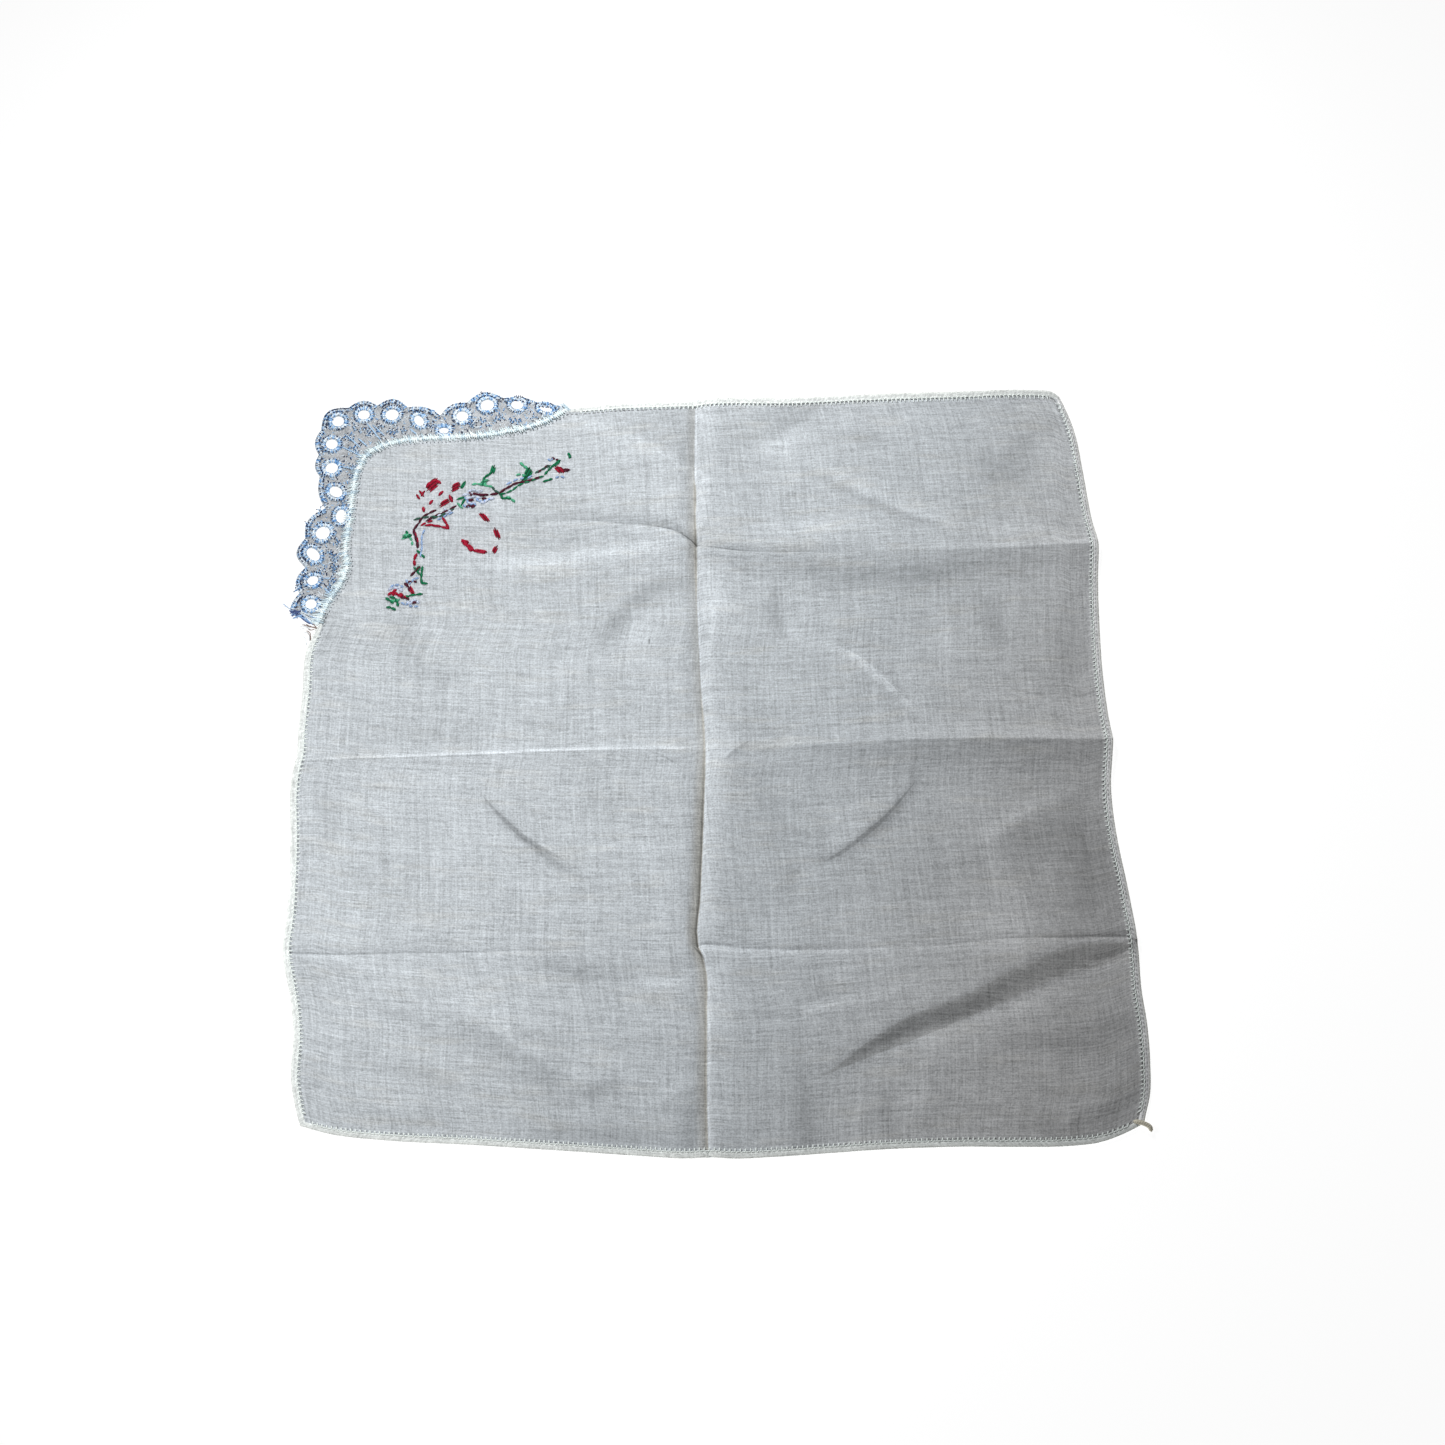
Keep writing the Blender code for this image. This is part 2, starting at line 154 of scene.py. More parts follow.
class Finish:
    """A material under construction: node() adds a node and gives its output as a Wire."""

    def __init__(self, name, **constants):
        self.material = bpy.data.materials.new(name)
        self.material.use_nodes = True
        self.tree = self.material.node_tree
        self.shader = self.tree.nodes["Principled BSDF"]
        for socket, value in constants.items():
            self.shader.inputs[socket.replace("_", " ")].default_value = value

    def node(self, kind, settings=None, sockets=None, output=0):
        made = self.tree.nodes.new(kind)
        for name, value in (settings or {}).items():
            setattr(made, name, value)
        for name, value in (sockets or {}).items():
            self.plug(made.inputs[name], value)
        return Wire(self, made.outputs[output])

    def plug(self, socket, value):
        if isinstance(value, Wire):
            self.tree.links.new(value.socket, socket)
        else:
            socket.default_value = value

    def feed(self, **links):
        """Links wires to the shader's own sockets."""
        for socket, wire in links.items():
            self.plug(self.shader.inputs[socket.replace("_", " ")], wire)

    def parts(self, vector):
        """The three numbers of a vector."""
        split = self.tree.nodes.new("ShaderNodeSeparateXYZ")
        self.tree.links.new(vector.socket, split.inputs[0])
        return [Wire(self, out) for out in split.outputs]

    def vector(self, x, y, z=0.0):
        return self.node("ShaderNodeCombineXYZ", None, {0: x, 1: y, 2: z})

    def map(self, name):
        """The two numbers of the piece's own UV map."""
        return self.parts(self.node("ShaderNodeUVMap", {"uv_map": name}))[:2]

    def place(self):
        """Where the point lies on the table, as X and Y in millimetres."""
        spot = self.node("ShaderNodeTexCoord", output="Object")
        return [part / MM for part in self.parts(spot)[:2]]

    def tint(self):
        """The tint that the piece keeps on each of its points."""
        return self.node("ShaderNodeAttribute", {"attribute_name": "tint"})

    def noise(self, vector, detail=1.0):
        """Smooth noise about 0, mostly from -0.3 to 0.3, with one swell to each unit of the vector."""
        sockets = {"Vector": vector, "Scale": 1.0, "Detail": detail, "Roughness": 0.5}
        return self.node("ShaderNodeTexNoise", None, sockets) - 0.5

    def step(self, value, low, high):
        """0 below low, 1 above high, and a smooth rise between them."""
        sockets = {"Value": value, "From Min": low, "From Max": high}
        return self.node("ShaderNodeMapRange", {"interpolation_type": "SMOOTHSTEP"}, sockets)

    def follow(self, wire, first, last, values):
        """A number that changes with another one: values, evenly spread from first to last, with straight
        lines between them and no change beyond them."""
        low, high = min(values), max(values)
        made = self.tree.nodes.new("ShaderNodeFloatCurve")
        made.mapping.extend = "HORIZONTAL"
        curve = made.mapping.curves[0]
        shares = [(value - low) / (high - low) for value in values]
        curve.points[0].location = (0, shares[0])
        curve.points[1].location = (1, shares[-1])
        for k in range(1, len(values) - 1):
            curve.points.new(k / (len(values) - 1), shares[k])
        for point in curve.points:
            point.handle_type = "VECTOR"
        made.mapping.update()
        self.plug(made.inputs["Value"], (wire - first) / (last - first))
        return Wire(self, made.outputs[0]) * (high - low) + low

    def tinted(self, colour, factor):
        """A colour made lighter or darker by a factor."""
        sockets = {0: colour, "Scale": factor}
        return self.node("ShaderNodeVectorMath", {"operation": "SCALE"}, sockets)

    def blend(self, factor, first, second):
        """From the first colour at factor 0 to the second at 1. The Mix node takes colours at its inputs
        6 and 7 and gives the mixed one at its output 2."""
        settings = {"data_type": "RGBA"}
        return self.node("ShaderNodeMix", settings, {0: factor, 6: first, 7: second}, output=2)

    def relief(self, height, strength, distance):
        """A Bump node's normal."""
        sockets = {"Height": height, "Strength": strength, "Distance": distance}
        return self.node("ShaderNodeBump", None, sockets)


# The table: a plain white top, which glows a little so that it stays as pale as the picture's.
TABLE_SIZE = 4.0
TABLE_DROP = 0.3 * MM
TABLE_COLOUR = (0.30, 0.30, 0.30, 1)
TABLE_GLOW = 0.90

table_top = Finish(
    "table_top",
    Roughness=0.9,
    Base_Color=TABLE_COLOUR,
    Emission_Color=(1, 1, 1, 1),
    Emission_Strength=TABLE_GLOW,
    Specular_IOR_Level=0.0,
)
bpy.ops.mesh.primitive_plane_add(size=TABLE_SIZE, location=(0, 0, -TABLE_DROP))
table = bpy.context.object
table.name = "table_top"
table.data.materials.append(table_top.material)


# The cloth: one square of fine cotton lawn, cut on the thread and hemmed, with its far left corner
# cut away in a curve. It was kept folded in eight, so it lies on the creases of those folds.
CLOTH_SIDE = 288.0
CLOTH_THICK = 0.25
CLOTH_REST = 0.05
FOLD_COLUMN = 144.0
FOLD_ROWS = (61.5, 143.0, 216.5)
FINE_STEP, WIDE_STEP, FINE_REACH = 0.55, 1.7, 8.0
CREST_ROUND = 0.45
TENT_SLOPE = 0.5
BILLOW_HIGH = 0.28
FAR_REACH = 5.0
TURNS_TO_MEET = 30

Point = namedtuple("Point", "x y")
Stop = namedtuple("Stop", "x y high")
Crease = namedtuple("Crease", "stops kind left right")
Side = namedtuple("Side", "near far")

TOP_EDGE = [
    Point(-149, 146), Point(-120, 145), Point(-90, 144), Point(-53, 142.9), Point(-32, 144.8),
    Point(-3, 146), Point(2.4, 146.8), Point(34, 147.7), Point(66, 149.3), Point(99, 150.5),
    Point(120, 151.2), Point(129, 151), Point(133.8, 150.3), Point(136.5, 148),
]
BOTTOM_EDGE = [
    Point(-137.1, -139.6), Point(-127.7, -142.2), Point(-108, -144.6), Point(-79, -146.2),
    Point(-49, -148.1), Point(-20, -150.1), Point(-4.5, -151.1), Point(1.9, -150.7),
    Point(8.3, -151.1), Point(24, -150.4), Point(45, -148.9), Point(67, -147.6), Point(88, -146.9),
    Point(109, -146.9), Point(125, -146.6), Point(135.7, -145.2), Point(143.3, -142.4),
    Point(150.3, -138.9),
]
LEFT_EDGE = [
    Point(-149, 146), Point(-147.5, 120), Point(-146, 90), Point(-144.5, 65), Point(-143.2, 50),
    Point(-144.3, 46.7), Point(-146.3, 40), Point(-146.6, 23), Point(-147.2, 6), Point(-147.3, -5),
    Point(-148.1, -9.5), Point(-148.5, -16), Point(-147.3, -33), Point(-146.7, -49.5),
    Point(-146.6, -65.6), Point(-147.1, -77), Point(-144.6, -89), Point(-142.7, -97.3),
    Point(-141.3, -107.7), Point(-141.2, -123), Point(-139.5, -131.2), Point(-137.1, -139.6),
]
RIGHT_EDGE = [
    Point(136.5, 148), Point(138.6, 142), Point(140.1, 137.2), Point(141.5, 131), Point(143.4, 117),
    Point(145.8, 94.5), Point(147.4, 83.4), Point(146.7, 70.4), Point(146.1, 47), Point(146.1, 30),
    Point(147, 15.5), Point(148, 3), Point(147.4, -4), Point(146.5, -13), Point(146.8, -27),
    Point(147.8, -37), Point(149.8, -51.4), Point(151.3, -65.3), Point(152.3, -77),
    Point(152.5, -90.7), Point(153.7, -104), Point(153.8, -117.8), Point(153, -128.7),
    Point(150.8, -136.8), Point(150.3, -138.9),
]
CENTRE_FOLD = [
    Stop(-3.3, 145.1, 1.0), Stop(-3.4, 125, 1.6), Stop(-3.3, 103, 1.6), Stop(-3, 82.4, 1.9),
    Stop(-2.4, 61, 1.8), Stop(-1.5, 40, 2.0), Stop(-0.5, 20, 2.1), Stop(0.5, -0.6, 1.6),
    Stop(0.1, -19.6, 2.4), Stop(-0.5, -39, 2.8), Stop(-1.2, -58, 2.8), Stop(-1.9, -74.8, 2.6),
    Stop(0.8, -83, 1.7), Stop(1.3, -98, 1.6), Stop(1.3, -116, 1.5), Stop(1.4, -134, 1.4),
    Stop(1.9, -150.7, 1.0),
]
UPPER_FOLD = [
    Point(-146, 80), Point(-96, 86.8), Point(-48, 94.3), Point(-32, 92.8), Point(-17, 90.7),
    Point(-9.2, 87.7), Point(-2.8, 82.4), Point(6, 81.3), Point(28, 80.9), Point(55, 81.1),
    Point(92, 81.5), Point(126, 82.6), Point(148, 83.4),
]
MIDDLE_FOLD = [
    Point(-145.2, -5), Point(-131.5, -4.5), Point(-110, -3.6), Point(-85, -2.6), Point(-52, -1.2),
    Point(-23, -0.2), Point(0.6, -0.6), Point(13, 0.8), Point(35, 1.0), Point(64, 2.4),
    Point(93, 3.2), Point(122, 3.0), Point(148, 3.0),
]
LOWER_FOLD = [
    Point(-145.9, -77.6), Point(-127, -78.3), Point(-106, -77.7), Point(-82, -77.3),
    Point(-57, -76.4), Point(-29, -76.2), Point(-2.1, -75.7), Point(20, -76.8), Point(52, -76.4),
    Point(80, -75.3), Point(104, -73.4), Point(129, -73.1), Point(152.3, -72),
]


def smooth(at, knots, values):
    """The smooth curve through (knots, values), read at each place in at. Between two knots it is the
    cubic whose slope at each knot is the one from the knot before to the knot after."""
    slopes = np.gradient(values, knots)
    k = np.clip(np.searchsorted(knots, at) - 1, 0, len(knots) - 2)
    span = knots[k + 1] - knots[k]
    t = (at - knots[k]) / span
    return (
        values[k] * (1 + 2 * t) * (1 - t) ** 2
        + values[k + 1] * t * t * (3 - 2 * t)
        + span * (slopes[k] * t * (1 - t) ** 2 - slopes[k + 1] * t * t * (1 - t))
    )


def across(stops):
    """A line that runs left to right, as y for any x."""
    xs = np.array([s.x for s in stops], float)
    ys = np.array([s.y for s in stops], float)
    return lambda x: smooth(x, xs, ys)


def down(stops):
    """A line that runs from the far edge to the near one, as x for any y."""
    xs = np.array([s.x for s in stops], float)[::-1]
    ys = np.array([s.y for s in stops], float)[::-1]
    return lambda y: smooth(y, ys, xs)


def crossing(row, column, y):
    """Where a line across meets a line down, found from a first guess of y by going to and fro."""
    for _ in range(TURNS_TO_MEET):
        x = column(y)
        y = row(x)
    return np.array([x, y])


def stations(length, fold_at_start, fold_at_end):
    """Shares of one panel's length at which its grid has lines: FINE_STEP apart within FINE_REACH of a
    fold, WIDE_STEP apart elsewhere."""
    fine = np.arange(0, FINE_REACH, FINE_STEP)
    low = FINE_REACH if fold_at_start else 0.0
    high = length - (FINE_REACH if fold_at_end else 0.0)
    middle = np.linspace(low, high, math.ceil((high - low) / WIDE_STEP) + 1)
    head = fine if fold_at_start else fine[:0]
    tail = length - fine[::-1] if fold_at_end else fine[:0]
    return np.concatenate([head, middle, tail]) / length


def panel(u, v, top, bottom, left, right, corners):
    """A four-sided patch that meets its four edge lines: the two blends of opposite edges added, less
    the blend of its corners. u and v are shares of its width and depth."""
    (p00, p10), (p01, p11) = corners
    top_x = p00[0] + (p10[0] - p00[0]) * u
    bottom_x = p01[0] + (p11[0] - p01[0]) * u
    left_y = p00[1] + (p01[1] - p00[1]) * v
    right_y = p10[1] + (p11[1] - p10[1]) * v
    ends = (
        np.stack([top_x, top(top_x)], -1) * (1 - v)[..., None]
        + np.stack([bottom_x, bottom(bottom_x)], -1) * v[..., None]
    )
    sides = (
        np.stack([left(left_y), left_y], -1) * (1 - u)[..., None]
        + np.stack([right(right_y), right_y], -1) * u[..., None]
    )
    u, v = u[..., None], v[..., None]
    corner_blend = p00 * (1 - u) * (1 - v) + p10 * u * (1 - v) + p01 * (1 - u) * v + p11 * u * v
    return ends + sides - corner_blend


def cloth_plan():
    """The square seen from above, as a grid from the far edge to the near one, and where its lines run
    on the flat cloth: distances from its left edge and from its far one."""
    rows = [across(s) for s in (TOP_EDGE, UPPER_FOLD, MIDDLE_FOLD, LOWER_FOLD, BOTTOM_EDGE)]
    columns = [down(s) for s in (LEFT_EDGE, CENTRE_FOLD, RIGHT_EDGE)]
    guesses = (145.0, 82.0, 0.0, -76.0, -148.0)
    nodes = np.array([[crossing(r, c, g) for c in columns] for r, g in zip(rows, guesses)])
    flat_x, flat_y = (0, FOLD_COLUMN, CLOTH_SIDE), (0, *FOLD_ROWS, CLOTH_SIDE)
    last_row, last_column = len(rows) - 2, len(columns) - 2
    bands, lines_y = [], []
    for i in range(len(rows) - 1):
        deep = flat_y[i + 1] - flat_y[i]
        v = stations(deep, i > 0, i < last_row)
        strips, lines_x = [], []
        for j in range(len(columns) - 1):
            wide = flat_x[j + 1] - flat_x[j]
            u = stations(wide, j > 0, j < last_column)
            across_u, down_v = np.meshgrid(u, v)
            edges = (rows[i], rows[i + 1], columns[j], columns[j + 1])
            strips.append(panel(across_u, down_v, *edges, nodes[i : i + 2, j : j + 2]))
            lines_x.append(flat_x[j] + u * wide)
        bands.append(np.concatenate([strips[0], strips[1][:, 1:]], axis=1))
        lines_y.append(flat_y[i] + v * deep)
    bands[1:] = [b[1:] for b in bands[1:]]
    lines_y[1:] = [y[1:] for y in lines_y[1:]]
    lines_x = np.concatenate([lines_x[0], lines_x[1][1:]])
    return np.concatenate(bands), lines_x, np.concatenate(lines_y)


# The creases, each a line with how high the cloth stands on or beside it. A ridge falls away to both
# sides, a dip lies between two swells, and a tent leans at one slope on its left and eases off on its
# right
LEFT_TUCK = [
    Stop(-79.8, -17.7, 0), Stop(-74.7, -24.2, 0.9), Stop(-69.8, -29.3, 1.3), Stop(-64.3, -34.4, 1.2),
    Stop(-59.4, -37.6, 0.8), Stop(-49.8, -42.7, 0),
]
RIGHT_TUCK = [
    Stop(76.5, -12.6, 0), Stop(69.8, -21.2, 0.9), Stop(63.4, -28.5, 1.3), Stop(57.7, -33.4, 1.2),
    Stop(48.8, -40.4, 0.7), Stop(42.5, -43.7, 0),
]
UPPER_TUCK = [
    Stop(52.2, 39, 0), Stop(58.4, 34, 0.8), Stop(63.8, 28.9, 1.0), Stop(70.1, 23.1, 0.8),
    Stop(74.1, 18.2, 0),
]
RIPPLE_CREST = [
    Stop(150, -74, 1.2), Stop(137.7, -75.0, 3.2), Stop(124.6, -78.3, 4.0), Stop(113.9, -82.4, 4.3),
    Stop(106.1, -85.9, 4.2), Stop(91.6, -94.1, 3.4), Stop(72.1, -101.3, 2.8), Stop(56.7, -110.7, 1.6),
    Stop(43, -121, 0),
]
CREASES = [
    Crease(CENTRE_FOLD, "dip", Side(0.8, 14), Side(2.2, 16)),
    Crease(
        [
            Stop(-66, 92, 0), Stop(-48, 94.3, 0.8), Stop(-32, 92.8, 1.5), Stop(-17, 90.7, 2.0),
            Stop(-9.2, 87.7, 2.3), Stop(-4.5, 83.4, 2.0), Stop(-2.8, 82.4, 1.2),
        ],
        "dip", Side(3.4, 13), Side(0.8, 7),
    ),
    Crease(
        [
            Stop(-2.8, 82.4, 1.2), Stop(6, 81.3, 1.1), Stop(28, 80.9, 0.9), Stop(47, 80.9, 0.6),
            Stop(62, 81, 0),
        ],
        "dip", Side(2.2, 9), Side(0.9, 9),
    ),
    Crease(
        [Stop(52, 81, 0), Stop(80, 81.3, 0.9), Stop(110, 82.1, 1.5), Stop(148, 83.4, 1.9)],
        "ridge", Side(0, 4.5), Side(0, 9),
    ),
    Crease(
        [
            Stop(-145.2, -5, 1.5), Stop(-131.5, -4.5, 1.7), Stop(-110, -3.6, 1.6),
            Stop(-85, -2.6, 1.6), Stop(-52, -1.2, 1.6), Stop(-23, -0.2, 1.3), Stop(0.6, -0.6, 0.5),
        ],
        "ridge", Side(0, 1.9), Side(0, 9),
    ),
    Crease(
        [
            Stop(0.6, -0.6, 0.5), Stop(13, 0.8, 1.0), Stop(35, 1.0, 1.8), Stop(64, 2.4, 2.7),
            Stop(93, 3.2, 3.3), Stop(122, 3.0, 3.4), Stop(148, 3.0, 2.8),
        ],
        "ridge", Side(0, 3.2), Side(0, 13),
    ),
    Crease(
        [
            Stop(-145.9, -77.6, 1.4), Stop(-127, -78.3, 1.2), Stop(-106, -77.7, 1.0),
            Stop(-82, -77.3, 0.8), Stop(-57, -76.4, 0.4), Stop(-40, -76, 0),
        ],
        "dip", Side(2.4, 9), Side(1.1, 9),
    ),
    Crease(
        [
            Stop(-2.1, -75.7, 1.5), Stop(20, -76.8, 1.0), Stop(52, -76.4, 0.4), Stop(80, -75.3, 0.3),
            Stop(104, -73.4, 0.6), Stop(129, -73.1, 1.0), Stop(152.3, -72, 1.0),
        ],
        "dip", Side(1.8, 8), Side(1.2, 8),
    ),
    Crease(RIPPLE_CREST, "tent", Side(0, 0), Side(0, 20)),
    Crease(
        [
            Stop(-92, 71, 0), Stop(-79, 73, 0.7), Stop(-54, 76, 1.1), Stop(-39, 78, 1.2),
            Stop(-24, 80, 1.0), Stop(-12, 82, 0.4), Stop(-5, 83, 0),
        ],
        "ridge", Side(0, 4), Side(0, 8),
    ),
    Crease(LEFT_TUCK, "ridge", Side(0, 5.0), Side(0, 1.3)),
    Crease(RIGHT_TUCK, "ridge", Side(0, 1.3), Side(0, 5.0)),
    Crease(UPPER_TUCK, "ridge", Side(0, 1.4), Side(0, 5.0)),
    Crease([Stop(-20, -1, 0), Stop(-15, -4, 0.8), Stop(-9, -7, 0)], "ridge", Side(0, 3), Side(0, 1.0)),
    Crease([Stop(16, 2, 0), Stop(11, -2, 0.9), Stop(7, -6, 0)], "ridge", Side(0, 1.0), Side(0, 3)),
    Crease([Stop(-140, 80, 0), Stop(-122, 91, 1.1), Stop(-104, 99, 0)], "ridge", Side(0, 5), Side(0, 6)),
    Crease([Stop(10, -108, 0), Stop(44, -98, 1.0), Stop(72, -91, 0)], "ridge", Side(0, 5), Side(0, 5)),
    Crease([Stop(98, -107, 0), Stop(120, -109, 0.9), Stop(142, -108, 0)], "ridge", Side(0, 7), Side(0, 3)),
    Crease([Stop(119, -144, 0), Stop(124, -139, 0.6), Stop(129, -134, 0)], "ridge", Side(0, 1), Side(0, 3)),
]

# Where the cloth touches nothing but the table it still isn't quite flat: long, low swells
Swell = namedtuple("Swell", "wave angle_deg start share")
SWELLS = [
    Swell(71, 18, 0.3, 1.0), Swell(53, 101, 1.9, 0.9), Swell(38, 63, 4.1, 0.6),
    Swell(29, 152, 2.7, 0.3), Swell(19, 84, 5.2, 0.12), Swell(16, 8, 0.9, 0.1),
]
NEAREST_AT_ONCE = 8000


def runs_along(line):
    """How far along a line of points each of them lies."""
    return np.concatenate([[0], np.cumsum(np.hypot(*np.diff(line[:, :2], axis=0).T))])


def along(stops, step):
    """Points about step apart on the smooth curve through the stops, with how high each is."""
    rows = np.array([tuple(s) for s in stops], float)
    run = runs_along(rows)
    at = np.linspace(0, run[-1], math.ceil(run[-1] / step) + 1)
    return np.stack([smooth(at, run, rows[:, k]) for k in range(rows.shape[1])], axis=1)


def beside(points, line):
    """For each point its distance from a line of close points, positive to the left of the line's way,
    and which of the line's points is nearest."""
    way = np.gradient(line[:, :2], axis=0)
    way /= np.hypot(*way.T)[:, None]
    nearest = np.empty(len(points), int)
    for part in np.array_split(np.arange(len(points)), 1 + len(points) // NEAREST_AT_ONCE):
        gaps = points[part, None] - line[None, :, :2]
        nearest[part] = (gaps**2).sum(-1).argmin(1)
    gap = points - line[nearest, :2]
    sideways = way[nearest, 0] * gap[:, 1] - way[nearest, 1] * gap[:, 0]
    side = np.where(sideways < 0, -1, 1)
    ahead = (way[nearest] * gap).sum(-1)
    past_end = ((nearest == 0) & (ahead < 0)) | ((nearest == len(line) - 1) & (ahead > 0))
    return np.where(past_end, np.hypot(*gap.T) * side, sideways), nearest


